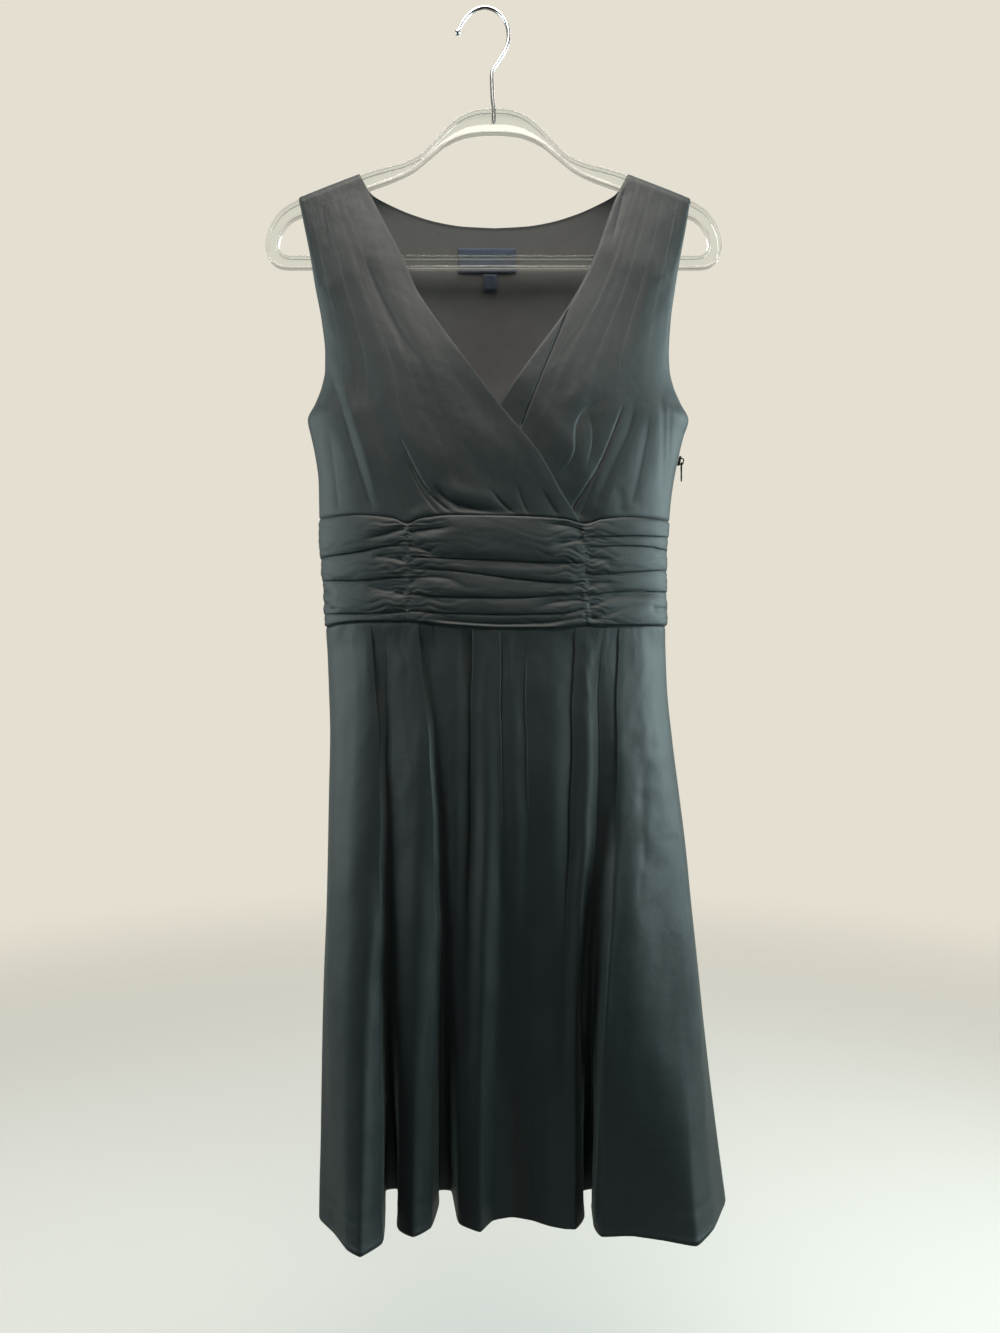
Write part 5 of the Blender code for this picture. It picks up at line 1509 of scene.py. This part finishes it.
@dataclass(frozen=True)
class SkirtFront(SkirtPanel):
    """The front panel with its unpressed pleats."""

    name: str = "skirt_front"
    cut: Pair = (0.72, 0.545)
    share: float = 0.84
    creases: tuple[Crease, ...] = SKIRT_FOLDS
    flaps: tuple[Flap, ...] = FLAPS
    # Columns from one pleat line to the next, and closer ones beside a flap's line.
    samples: tuple[float, ...] = (0.0, 0.17, 0.34, 0.5, 0.66, 0.83)
    beside: tuple[float, ...] = (0.03, 0.09)
    # Distance below the waist over which the pleats come open.
    opening: float = 24.0
    # Width over which closed pleats are evened out, and over which they still meet the side seams.
    evening: float = 34.0
    meeting: float = 45.0
    # How far the lines stray, over what length, and where and over what distance it comes and goes.
    stray: float = 0.8
    stray_size: float = 52.0
    straying: Rows = ((590.0, 60.0), (1000.0, 120.0))
    gathers: Gathers = Gathers(211, 5.2, 0.22, 9.0)
    crumples: tuple[Crumple, ...] = (
        Crumple(51, 46.0, 130.0, 0.8), Crumple(53, 15.0, 40.0, 0.3, 8.0))
    # A crumpled patch on the wearer's left, its middle, and its widths across and down.
    patch: Crumple = Crumple(55, 20.0, 24.0, 0.8, 30.0)
    patch_middle: Pair = (146.0, 740.0)
    patch_size: Pair = (16.0, 110.0)

    def columns(self) -> Array:
        """Lay out the columns.

        Returns:
            Place of each column among the pleat lines.
        """
        edges = {flap.line for flap in self.flaps}
        at = [len(PLEATS) - 1.0]
        for k in range(len(PLEATS) - 1):
            at += [k + part for part in self.samples]
            at += [k + part for part in self.beside] * (k in edges)
            at += [k + 1 - part for part in self.beside] * (k + 1 in edges)
        return np.array(sorted(at))

    def smoothed(self, lines: Array, waist: Array) -> Array:
        """Close up the pleats.

        Args:
            lines: X and y of each pleat line, row by row.
            waist: The y of each at the waist.

        Returns:
            The y of each if the pleats lay flat and hung on from there.
        """
        x, y = lines[..., 0], lines[..., 1]
        weight = bell(x[:, :, None] - x[:, None, :], self.evening)
        weight = weight * (np.abs(np.gradient(x, axis=1)) + 1.0)[:, None, :]
        mean = (weight * y[:, None, :]).sum(axis=2) / weight.sum(axis=2)
        mean = waist + mean - mean[:1]
        edge = np.minimum(x - x[:, :1], x[:, -1:] - x)
        return mix(y, mean, ramp(edge / self.meeting))

    def sections(self, drop: Array, form: BodyForm) -> tuple[Array, Array]:
        """Sections of the pleats at some heights.

        Args:
            drop: Heights, one for each row.
            form: The form that the waist lies on.

        Returns:
            X and y of every row and column.
        """
        lines = np.empty((len(drop), len(PLEATS), 2))
        for k, pleat in enumerate(PLEATS):
            track = Track(tuple((d, pleat[2 * i], pleat[2 * i + 1])
                                for i, d in enumerate(PLEAT_DROPS)))
            stray = self.stray * swell(drop / self.stray_size, np.full_like(drop, 0.37 * k), 203)
            (coming, rise), (gone, fall) = self.straying
            lines[:, k, 0] = (track(drop, 1) + stray * ramp((drop - coming) / rise)
                              * ramp((gone - drop) / fall))
            lines[:, k, 1] = track(drop, 2)
        left, right = form.edges(drop)
        first, last = lines[:, :1, 0], lines[:, -1:, 0]
        lines[..., 0] = left[:, None] + (lines[..., 0] - first) * (right - left)[:, None] / (
            last - first)
        lines[:, 0, 1], lines[:, -1, 1] = SKIRT_FORM(drop, 1), SKIRT_FORM(drop, 2)
        opened = ramp((drop - form.waist) / self.opening)[:, None]
        flat = form.surface(lines[..., 0], np.full_like(lines[..., 0], form.waist), Face.FRONT)
        lines[..., 1] = mix(lines[..., 1], self.smoothed(lines, flat),
                            PLEAT_FLATNESS(drop)[:, None])
        lines[..., 1] = mix(flat, lines[..., 1], opened)
        slopes = np.gradient(lines, axis=1) * mix(
            ROUND_TOP, ROUND_HEM, ramp((drop - ROUND_FROM) / ROUND_OVER))[:, None, None]
        at = self.columns()
        i = np.minimum(at.astype(int), len(PLEATS) - 2)
        u = (at - i)[None, :, None]
        made = smooth_run(u, 1.0, (lines[:, i], lines[:, i + 1]), (slopes[:, i], slopes[:, i + 1]))
        return made[..., 0], made[..., 1]

    def build(self, form: BodyForm, shop: ClothShop) -> Piece:
        """Make the panel.

        Args:
            form: The form that the waist lies on.
            shop: Makes its shell.

        Returns:
            The piece.
        """
        down = self.heights()
        x, y = self.sections(mix(form.waist, form.hem, down), form)
        tops = form.band_bottom(x[:1])
        drop = mix(tops, form.hem, down[:, None])
        points = np.stack([x, y, -drop], axis=2)
        side = ramp((1.0 - np.abs(form.across(x, drop))) / 0.04)
        settle = ramp((drop - tops + 1.0) / 3.5) * side
        push = sum(crease.push(x, drop) for crease in self.creases)
        for flap in self.flaps:
            out, sideways = flap.push(self.columns(), x, drop)
            push += out
            points[..., 0] += sideways
        push += self.gathers.push(drop - tops, x)
        for crumple in self.crumples:
            push += crumple.push(x, drop)
        patch = self.patch.push(x, drop)
        for at, middle, size in zip((x, drop), self.patch_middle, self.patch_size):
            patch = patch * bell(at - middle, size)
        push += patch
        height = self.hem_lift(drop, form) * side
        height += self.roll.push(points)
        normal = normals_of(np.stack([x, y, -drop], axis=2))
        points = points + normal * (height + push * settle)[..., None]
        return shop.panel(self.name, points, self.cut, "gathered", self.share)


@dataclass(frozen=True)
class SkirtBack(SkirtPanel):
    """The back panel, with fewer and softer pleats."""

    name: str = "skirt_back"
    columns: int = 120
    cut: Pair = (0.46, 0.545)
    share: float = 0.88
    # Power of the section's oval at the hem, and how much sharper the pleats are at the waist.
    squareness: float = 4.0
    waist_part: float = 0.45
    gathers: Gathers = Gathers(311, 6.0, 0.3, 12.0)
    crumples: tuple[Crumple, ...] = (
        Crumple(61, 50.0, 140.0, 0.9), Crumple(63, 17.0, 46.0, 0.22, -8.0))
    # Place at the waist and at the hem as parts of the half width, depth and width.
    valleys: Rows = ((-0.72, -0.70, 7.0, 0.060), (-0.50, -0.44, 9.0, 0.075),
                     (-0.28, -0.20, 6.0, 0.060), (-0.06, 0.02, 10.0, 0.080),
                     (0.18, 0.22, 6.0, 0.060), (0.42, 0.45, 9.5, 0.075),
                     (0.68, 0.70, 7.0, 0.065))

    def build(self, form: BodyForm, shop: ClothShop) -> Piece:
        """Make the panel.

        Args:
            form: The form that the waist lies on.
            shop: Makes its shell.

        Returns:
            The piece.
        """
        down = self.heights()[:, None]
        level = mix(form.waist, form.hem, down)
        parts = np.linspace(0.0, 1.0, self.columns)
        u = mix(np.cos(parts * math.pi), 1.0 - 2.0 * parts, 0.45) + 0.0 * down
        left, right = form.edges(level)
        x = (left + right) / 2 + (right - left) / 2 * u
        seam = np.where(u < 0, SKIRT_FORM(level, 1), SKIRT_FORM(level, 2))
        hung = ramp(down * 4.0)
        section = mix(oval(u, form.roundness), oval(u, self.squareness), hung)
        y = seam + (SKIRT_FORM(level, 3) - seam) * section
        sharp = mix(self.waist_part, 1.0, down)
        opened = ramp(down * 14.0) * sharp
        for waist, hem, depth, width in self.valleys:
            y -= depth * opened * np.exp(-(np.abs(u - mix(waist, hem, down)) / (width * sharp))
                                         ** 1.7)
        drop = level + 0.0 * u
        points = np.stack([x, y, -drop], axis=2)
        side = ramp((1.0 - np.abs(u)) / 0.04)
        push = self.gathers.push(drop - form.waist, x)
        for crumple in self.crumples:
            push += crumple.push(x, drop)
        height = push * ramp((drop - form.waist) / 6.0) * side + self.hem_lift(drop, form) * side
        height += self.roll.push(points)
        points = points + normals_of(points) * height[..., None]
        return shop.panel(self.name, points, self.cut, "gathered", self.share)


# ======== labels
@dataclass(frozen=True)
class WovenLabel:
    """A bare woven label inside the back neckline, sewn down at its ends."""

    name: str
    middle: float
    top: float
    width: float
    height: float
    cut: Pair
    # How far its edge lies in front of the form.
    lift: float = 1.7
    # Height and width of the rounding at its edge.
    edge: Pair = (0.35, 1.2)
    # Height, distance from the edge and width of its woven border.
    border: tuple[float, ...] = (0.25, 2.4, 0.5)
    # Height of its waves, their widths across and down, and the distance over which they come in.
    waves: tuple[float, ...] = (0.35, 17.0, 11.0, 4.0)

    def build(self, form: BodyForm, shop: ClothShop) -> Piece:
        """Make the label.

        Args:
            form: The form of the back that it lies on.
            shop: Makes its shell.

        Returns:
            The piece.
        """
        down = crowded(24, (0.0, 0.02), (0.0, 0.02))[:, None]
        parts = crowded(52, (0.0, 0.01), (0.0, 0.01))
        x = self.middle + self.width * (parts - 0.5) + 0.0 * down
        drop = self.top + self.height * down + 0.0 * parts
        away = np.minimum(np.minimum(x - x[:, :1], x[:, -1:] - x),
                          np.minimum(drop - self.top, self.top + self.height - drop))
        edge, (border, inset, width) = self.edge, self.border
        rise = edge[0] * ramp(away / edge[1]) + border * bell(away - inset, width)
        height, across, downward, near = self.waves
        wave = height * swell(x / across, drop / downward, 71) * ramp(away / near)
        y = form.surface(x, drop, Face.BACK) - self.lift - rise - wave
        points = np.stack([x, y, -drop], axis=2)
        piece = shop.shell("woven_" + self.name, points)
        finish_piece(piece, (self.name,))
        return piece


@dataclass(frozen=True)
class LabelStitches:
    """Short hand stitches that hold the label down at its two ends."""

    name: str = "label_stitches"
    ends: Pair = (-25.2, 28.4)
    top: float = 221.5
    pitch: float = 2.6
    count: int = 8
    length: float = 1.7
    radius: float = 0.22
    # How far in front of the back's cloth they lie.
    lift: float = 2.25

    def build(self, form: BodyForm, thread: Material) -> Piece:
        """Make the stitches.

        Args:
            form: The form of the back that they lie on.
            thread: The thread's material.

        Returns:
            The piece.
        """
        made = []
        for x in self.ends:
            for k in range(self.count):
                drop = self.top + self.pitch * k
                y = float(form.surface(np.array([x]), np.array([drop]), Face.BACK)[0]) - self.lift
                deselect_all()
                bpy.ops.mesh.primitive_uv_sphere_add(
                    segments=8, ring_count=6, radius=1.0, location=(x * MM, y * MM, -drop * MM))
                stitch = bpy.context.object
                stitch.scale = (self.length / 2 * MM, self.radius * MM, self.radius * MM)
                settle_in_place(stitch)
                made.append(stitch)
        piece = join(made, self.name)
        return finish_hard_piece(piece, thread, crisp=None)


# ======== hanger
@dataclass(frozen=True)
class ClearHanger:
    """The clear plastic frame: a rimmed channel section round a hump, two arms and a bar."""

    name: str = "clear_hanger"
    thickness: float = 7.6
    # Width of the rims, width of their inner slopes, and depth of the web between them.
    rim: float = 1.7
    rim_slope: float = 0.35
    recess: float = 2.4
    edge_radius: float = 0.5
    bar_top: float = 232.0
    bar_bottom: float = 244.0
    # Distances from the centre to the bar's corners, outside and inside, and to points of the arm's
    # top, and how far under the shoulder seam that lies.
    corners: Pair = (193.0, 190.0)
    arm: tuple[float, ...] = (118.0, 124.0, 178.0, 184.0)
    under_seam: float = 1.7
    hump_top: Rows = ((0, 94.5), (15, 95.6), (30, 101), (45, 113), (57, 126), (69, 137.6),
                      (84, 145), (104, 150.4))
    loop_outer: Rows = ((199, 190), (209, 204), (213.5, 220), (211.5, 234), (203, 242))
    hump_under: Rows = ((0, 117.2), (12, 117.6), (28, 120.2), (46, 128.5), (62, 141.5),
                        (76, 152.6), (92, 160.6))
    arm_under: Rows = ((120, 170.8), (178, 193.5))
    loop_inner: Rows = ((190, 199.5), (198, 209), (201.5, 220), (199, 228.5))
    # Distances of two more points of the bar, one from its corner and one from the centre.
    bar_points: Pair = (8.0, 90.0)
    # Number of steps along the hump, the arm, the loop and the bar, and the points to choose from.
    steps: tuple[int, ...] = (100, 12, 70, 12)
    choice: int = 1500

    def outlines(self, form: BodyForm) -> tuple[Array, Array]:
        """The outer and the inner outline, point for point, as distances from the centre.

        Args:
            form: Gives the slope of the shoulders.

        Returns:
            Both closed outlines.
        """
        arm = [(d, float(form.shoulder(form.centre_x + d)) + self.under_seam) for d in self.arm]
        rails = (((*self.hump_top, *arm, *self.loop_outer), self.bar_bottom, arm[1:3]),
                 ((*self.hump_under, *self.arm_under, *self.loop_inner), self.bar_top,
                  self.arm_under))
        made = []
        for (bends, bar, ends), corner in zip(rails, self.corners):
            beside, between = self.bar_points
            dense = curve_through((*bends, (corner, bar), (corner - beside, bar),
                                   (between, bar), (0.0, bar)), self.choice)
            stops = [int(np.argmin(np.hypot(*(dense - stop).T)))
                     for stop in ((0.0, bends[0][1]), *ends, (corner, bar), (0.0, bar))]
            half = np.concatenate([
                dense[np.linspace(a, b, count + 1).astype(int)[:-1]]
                for a, b, count in zip(stops[:-1], stops[1:], self.steps)] + [dense[-1:]])
            made.append(np.concatenate([half, half[-2:0:-1] * (-1.0, 1.0)]))
        return made[0], made[1]

    def build(self, form: BodyForm, plastic: Material) -> Piece:
        """Make the frame.

        Args:
            form: Gives the slope of the shoulders.
            plastic: Its material.

        Returns:
            The piece.
        """
        lines = [[(form.centre_x + x, -drop, 0.0, 1.0) for x, drop in outline]
                 for outline in self.outlines(form)]
        piece = curve_mesh(self.name, lines, True, turn=(90.0, 0.0, 0.0), dimensions="2D",
                           fill_mode="NONE")
        with editing(piece):
            bpy.ops.mesh.bridge_edge_loops()
        plate = piece.modifiers.new("plate", "SOLIDIFY")
        plate.thickness, plate.offset = self.thickness * MM, 0.0
        apply_modifiers(piece)
        level = (self.thickness / 2 - 0.01) * MM
        with editing(piece):
            bpy.ops.mesh.normals_make_consistent(inside=False)
            for facing in (-1.0, 1.0):
                select_faces(piece, lambda face: face.calc_center_median().y * facing > level)
                for step, sink in ((self.rim, 0.0), (self.rim_slope, self.recess)):
                    bpy.ops.mesh.inset(thickness=step * MM, depth=-sink * MM, use_boundary=True,
                                       use_even_offset=True)
        round_edges(piece, self.edge_radius, 2, 45.0)
        return finish_hard_piece(piece, plastic, ("hanger_body",))


@dataclass(frozen=True)
class WireHook:
    """The bent chromed wire with its rounded tip."""

    name: str = "wire_hook"
    radius: float = 1.9
    # Radius of the bead on its tip, and how far its middle is from the end.
    tip_radius: float = 2.7
    tip: float = 3.2
    bend: Rows = ((-26.8, 24.6), (-22.2, 13.9), (-15, 4.7), (-7.6, -0.2), (0, -1.9), (7.6, 0),
                  (14.4, 4.8), (19.4, 12), (21.9, 21.5), (21.7, 29.5), (19.2, 38),
                  (13.4, 47.6), (7.4, 57), (6.2, 61.5))
    stem: Rows = ((6.3, 66), (7, 84), (8, 93.5), (8, 107))

    def build(self, chrome: Material) -> Piece:
        """Make the hook.

        Args:
            chrome: Its material.

        Returns:
            The piece.
        """
        path = np.concatenate([curve_through(self.bend, 150), curve_through(self.stem, 50)])
        line = []
        for (x, drop), far in zip(path, run_lengths(path)):
            bead = self.tip_radius * math.sqrt(max(1.0 - ((far - self.tip) / self.tip) ** 2, 0.02))
            line.append((x, 0.0, -drop, max(bead, self.radius * (far > self.tip)) / self.radius))
        piece = curve_mesh(self.name, [line], dimensions="3D", bevel_depth=self.radius * MM,
                           bevel_resolution=6, use_fill_caps=True)
        close_seams(piece, 0.02)
        return finish_hard_piece(piece, chrome, ("hanger_hook",), crisp=None)


# ======== zip
@dataclass(frozen=True)
class ZipSlider:
    """Slider of the concealed zip, with the bail that carries the pull."""

    name: str = "zip_slider_body"
    drop: float = 424.0
    seat: float = 0.45
    seam_y: float = -1.0
    width: float = 5.0
    length: float = 8.6
    thickness: float = 2.2
    bail: Rows = ((1.4, -2.8), (3.9, -2.8), (4.55, -2.45), (4.8, -1.7), (4.8, 1.7), (4.55, 2.45),
                  (3.9, 2.8), (1.4, 2.8))
    bail_radius: float = 0.6
    # Width and depth of the step round its face, and rounding of its edges.
    step: Pair = (0.7, 0.25)
    rounding: float = 0.55

    def frame(self, form: BodyForm) -> Matrix:
        """Place the slider, so that its face looks out of the side seam at +X.

        Args:
            form: Gives the side seam.

        Returns:
            The placement.
        """
        half = self.length / 2
        above, below = (float(form.edge(self.drop + s * half, Side.PLUS_X)) for s in (-1, 1))
        lean = math.atan2(above - below, self.length)
        seat = Vector((float(form.edge(self.drop, Side.PLUS_X)) + self.seat, self.seam_y,
                       -self.drop)) * MM
        return Matrix.Translation(seat) @ Matrix.Rotation(lean, 4, "Y")

    def build(self, form: BodyForm, metal: Material) -> Piece:
        """Make the slider.

        Args:
            form: Gives the side seam.
            metal: Its material.

        Returns:
            The piece.
        """
        deselect_all()
        bpy.ops.mesh.primitive_cube_add(size=1.0, location=(self.thickness / 2 * MM, 0.0, 0.0))
        body = bpy.context.object
        body.scale = (self.thickness * MM, self.width * MM, self.length * MM)
        settle_in_place(body)
        with editing(body):
            select_faces(body, lambda face: face.normal.x > 0.9)
            bpy.ops.mesh.inset(thickness=self.step[0] * MM, depth=-self.step[1] * MM)
        round_edges(body, self.rounding, 4)
        arch = curve_mesh("bail", [[(out, 0.0, up, 1.0) for out, up in self.bail]],
                          dimensions="3D", bevel_depth=self.bail_radius * MM, bevel_resolution=3,
                          use_fill_caps=True)
        piece = join([body, arch], self.name)
        piece.matrix_world = self.frame(form)
        settle_in_place(piece)
        return finish_hard_piece(piece, metal, ("zip_slider",))


@dataclass(frozen=True)
class ZipPull:
    """The teardrop pull that hangs from the bail, with an eye and a raised rim."""

    name: str = "zip_pull_tab"
    out: float = 3.25
    below: float = 1.4
    thickness: float = 0.9
    # Rounding of its edges.
    rim: float = 0.2
    half_width: float = 2.4
    length: float = 17.5
    outline: Rows = ((1.0, 6.5), (0.72, 10.5), (0.86, 14.0), (0.62, 16.9))
    eye: Pair = (1.3, 5.0)

    def build(self, slider: ZipSlider, form: BodyForm, metal: Material) -> Piece:
        """Make the pull.

        Args:
            slider: Carries it.
            form: Gives the side seam.
            metal: Its material.

        Returns:
            The piece.
        """
        axis = slider.frame(form) @ (Vector((self.out, 0.0, -self.below)) * MM)
        bar = self.thickness / 2
        right = [(self.half_width, bar)] + [(self.half_width * w, -d) for w, d in self.outline]
        outer = right + [(0.0, -self.length)] + [(-x, up) for x, up in reversed(right)]
        wide, long = self.eye
        hole = [(-wide, -bar), (wide, -bar), (wide, -bar - long), (-wide, -bar - long)]
        lines = [[(across, up, 0.0, 1.0) for across, up in shape] for shape in (outer, hole)]
        rim = self.rim
        pull = curve_mesh(self.name, lines, True, axis, (90.0, 0.0, 90.0), dimensions="2D",
                          fill_mode="BOTH", extrude=(bar - rim) * MM, bevel_depth=rim * MM,
                          bevel_resolution=2, offset=-rim * MM)
        close_seams(pull, 0.01)
        return finish_hard_piece(pull, metal, ("zip_pull",), PULL_BODY, 40.0)


# ======== studio
@dataclass(frozen=True)
class Softbox:
    """A round soft lamp; its size is its diameter."""

    name: str
    place: Place
    target: Place
    size: float
    watts: float
    colour: str

    def hang(self) -> Piece:
        """Place the lamp.

        Returns:
            The lamp, which doesn't shine through the clear plastic as a white patch.
        """
        lamp = bpy.data.lights.new(self.name, "AREA")
        lamp.shape, lamp.size, lamp.energy = "DISK", self.size, self.watts
        lamp.color = linear(self.colour)[:3]
        holder = bpy.data.objects.new(self.name, lamp)
        bpy.context.scene.collection.objects.link(holder)
        holder.location = self.place
        toward = Vector(self.target) - Vector(self.place)
        holder.rotation_euler = toward.to_track_quat("-Z", "Y").to_euler()
        holder.visible_transmission = False
        return holder


@dataclass(frozen=True)
class Studio:
    """Camera, pale floor and soft light."""

    eye: Place = (0.014, -0.940, -0.617)
    lens: float = 27.034
    floor_level: float = -1.36
    floor_radius: float = 3.0
    background: str = "#e4dfd1"
    through_clear: float = 0.98
    ambient: float = 0.02
    wall_gleam: float = 0.6
    ceiling_gleam: float = 0.4
    lamps: tuple[Softbox, ...] = (
        Softbox("overhead", (0.0, -0.42, 0.75), (0.0, 0.0, -0.30), 1.1, 24.0, "#fff8f0"),
        Softbox("left_side", (-1.40, -0.22, -0.35), (-0.1, 0.0, -0.52), 1.2, 21.0, "#dceef0"),
        Softbox("right_side", (1.40, -0.14, -0.35), (0.1, 0.0, -0.52), 1.2, 40.0, "#d8f0f2"),
        Softbox("floor_glow", (0.05, -0.25, -1.34), (0.05, 0.0, -1.12), 0.5, 0.25, "#dcecea"),
        Softbox("behind", (0.3, 1.6, 0.7), (0.0, 0.0, -0.5), 1.2, 16.0, "#ffffff"),
    )
    floor_lamp: Softbox = Softbox("floor_light", (0.0, 0.4, 1.4), (0.0, 0.4, -1.36), 3.6, 30.0,
                                  "#fffaf2")

    def build(self) -> None:
        """Set up the camera, the floor, the background and the lamps."""
        scene = bpy.context.scene
        camera = bpy.data.objects.new("camera", bpy.data.cameras.new("camera"))
        scene.collection.objects.link(camera)
        camera.location = self.eye
        camera.rotation_euler = (math.radians(90.0), 0.0, 0.0)
        camera.data.sensor_width = 36.0
        camera.data.lens = self.lens
        camera.data.clip_start, camera.data.clip_end = 0.01, 50.0
        scene.camera = camera
        scene.view_settings.view_transform = "Standard"
        scene.world = self.pale_room()
        for lamp in self.lamps:
            lamp.hang()
        floor = self.lay_floor()
        floor_only = bpy.data.collections.new("lit_floor")
        floor_only.objects.link(floor)
        self.floor_lamp.hang().light_linking.receiver_collection = floor_only

    def pale_room(self) -> bpy.types.World:
        """A pale backdrop that lights the cloth only a little.

        Light that is bent steeply up or down in the clear plastic finds it darker, as in a room.

        Returns:
            The world.
        """
        world = bpy.data.worlds.new("pale_room")
        world.use_nodes = True
        tree = world.node_tree
        path = add_node(tree, "LightPath")
        toward = add_node(tree, "SeparateXYZ",
                          links={0: add_node(tree, "TexCoord").outputs["Generated"]})
        steep = add_node(tree, "Math", {"operation": "ABSOLUTE"}, {0: toward.outputs["Z"]})
        dim = add_node(tree, "MapRange", {"From Min": 0.56, "From Max": 0.9,
                                          "To Min": self.through_clear, "To Max": 0.3},
                       {"Value": steep})
        clear = add_node(tree, "Math", {"operation": "MULTIPLY"},
                         {0: path.outputs["Is Transmission Ray"], 1: dim})
        seen = add_node(tree, "Math", {"operation": "MAXIMUM"},
                        {0: path.outputs["Is Camera Ray"], 1: clear})
        wall = add_node(tree, "MapRange", {"From Min": 0.0, "From Max": 0.6, "To Min": self.ambient,
                                           "To Max": self.wall_gleam}, {"Value": toward.outputs["Y"]})
        ceiling = add_node(tree, "MapRange", {"From Min": 0.2, "From Max": 0.8,
                                              "To Min": self.ambient, "To Max": self.ceiling_gleam},
                           {"Value": toward.outputs["Z"]})
        room = add_node(tree, "Math", {"operation": "MAXIMUM"}, {0: wall, 1: ceiling})
        gleam = add_node(tree, "Math", {"operation": "MULTIPLY"},
                         {0: path.outputs["Is Glossy Ray"], 1: room})
        least = add_node(tree, "Math", {"operation": "MAXIMUM", 1: self.ambient}, {0: gleam})
        strength = add_node(tree, "Math", {"operation": "MAXIMUM"}, {0: seen, 1: least})
        backdrop = tree.nodes["Background"]
        backdrop.inputs["Color"].default_value = linear(self.background)
        tree.links.new(strength.outputs[0], backdrop.inputs["Strength"])
        return world

    def lay_floor(self) -> Piece:
        """Lay a round floor that fades into the background at its rim.

        Returns:
            The floor, which throws no light back on the dress.
        """
        deselect_all()
        bpy.ops.mesh.primitive_circle_add(vertices=96, radius=self.floor_radius,
                                          fill_type="NGON", location=(0, 0, self.floor_level))
        floor = bpy.context.object
        floor.name = "floor"
        settle_in_place(floor)
        material, tree, shader = FLOOR.start()
        place = add_node(tree, "TexCoord").outputs["Object"]
        far = add_node(tree, "VectorMath", {"operation": "LENGTH"}, {0: place})
        fade = add_node(tree, "MapRange", {"From Min": 1.1, "From Max": 2.9,
                                           "To Min": 1.0, "To Max": 0.0,
                                           "interpolation_type": "SMOOTHSTEP"},
                        {"Value": far.outputs["Value"]})
        tree.links.new(fade.outputs["Result"], shader.inputs["Alpha"])
        floor.data.materials.append(material)
        floor.visible_diffuse = floor.visible_glossy = False
        return floor


# ======== whole object
@dataclass(frozen=True)
class CocktailDress:
    """All the cloth of the dress, its labels and its zip."""

    form: BodyForm = BodyForm()

    def build(self) -> None:
        """Make every piece of the dress."""
        shop = ClothShop(SATIN.make(), REVERSE_PAINTED_LIGHT.make())
        for panel in (*FRONTS, BackBodice(), *BAND_PANELS, SkirtFront(), SkirtBack()):
            panel.build(self.form, shop)
        woven = LABEL.make()
        label_shop = ClothShop(woven, woven, 0.45)
        WovenLabel("neck_label", 1.6, 219.5, 55.0, 23.0, (0.055, 0.023)).build(self.form, label_shop)
        WovenLabel("size_tab", 4.5, 244.0, 13.0, 15.5, (0.013, 0.0155)).build(self.form, label_shop)
        LabelStitches().build(self.form, THREAD.make())
        enamel = ENAMEL.make()
        slider = ZipSlider()
        slider.build(self.form, enamel)
        ZipPull().build(slider, self.form, enamel)


def main() -> None:
    """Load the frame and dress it."""
    logging.basicConfig(level=logging.INFO, format="%(message)s")
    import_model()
    Studio().build()
    dress = CocktailDress()
    dress.build()
    ClearHanger().build(dress.form, CLEAR.make())
    WireHook().build(CHROME.make())


if __name__ == "__main__":
    main()
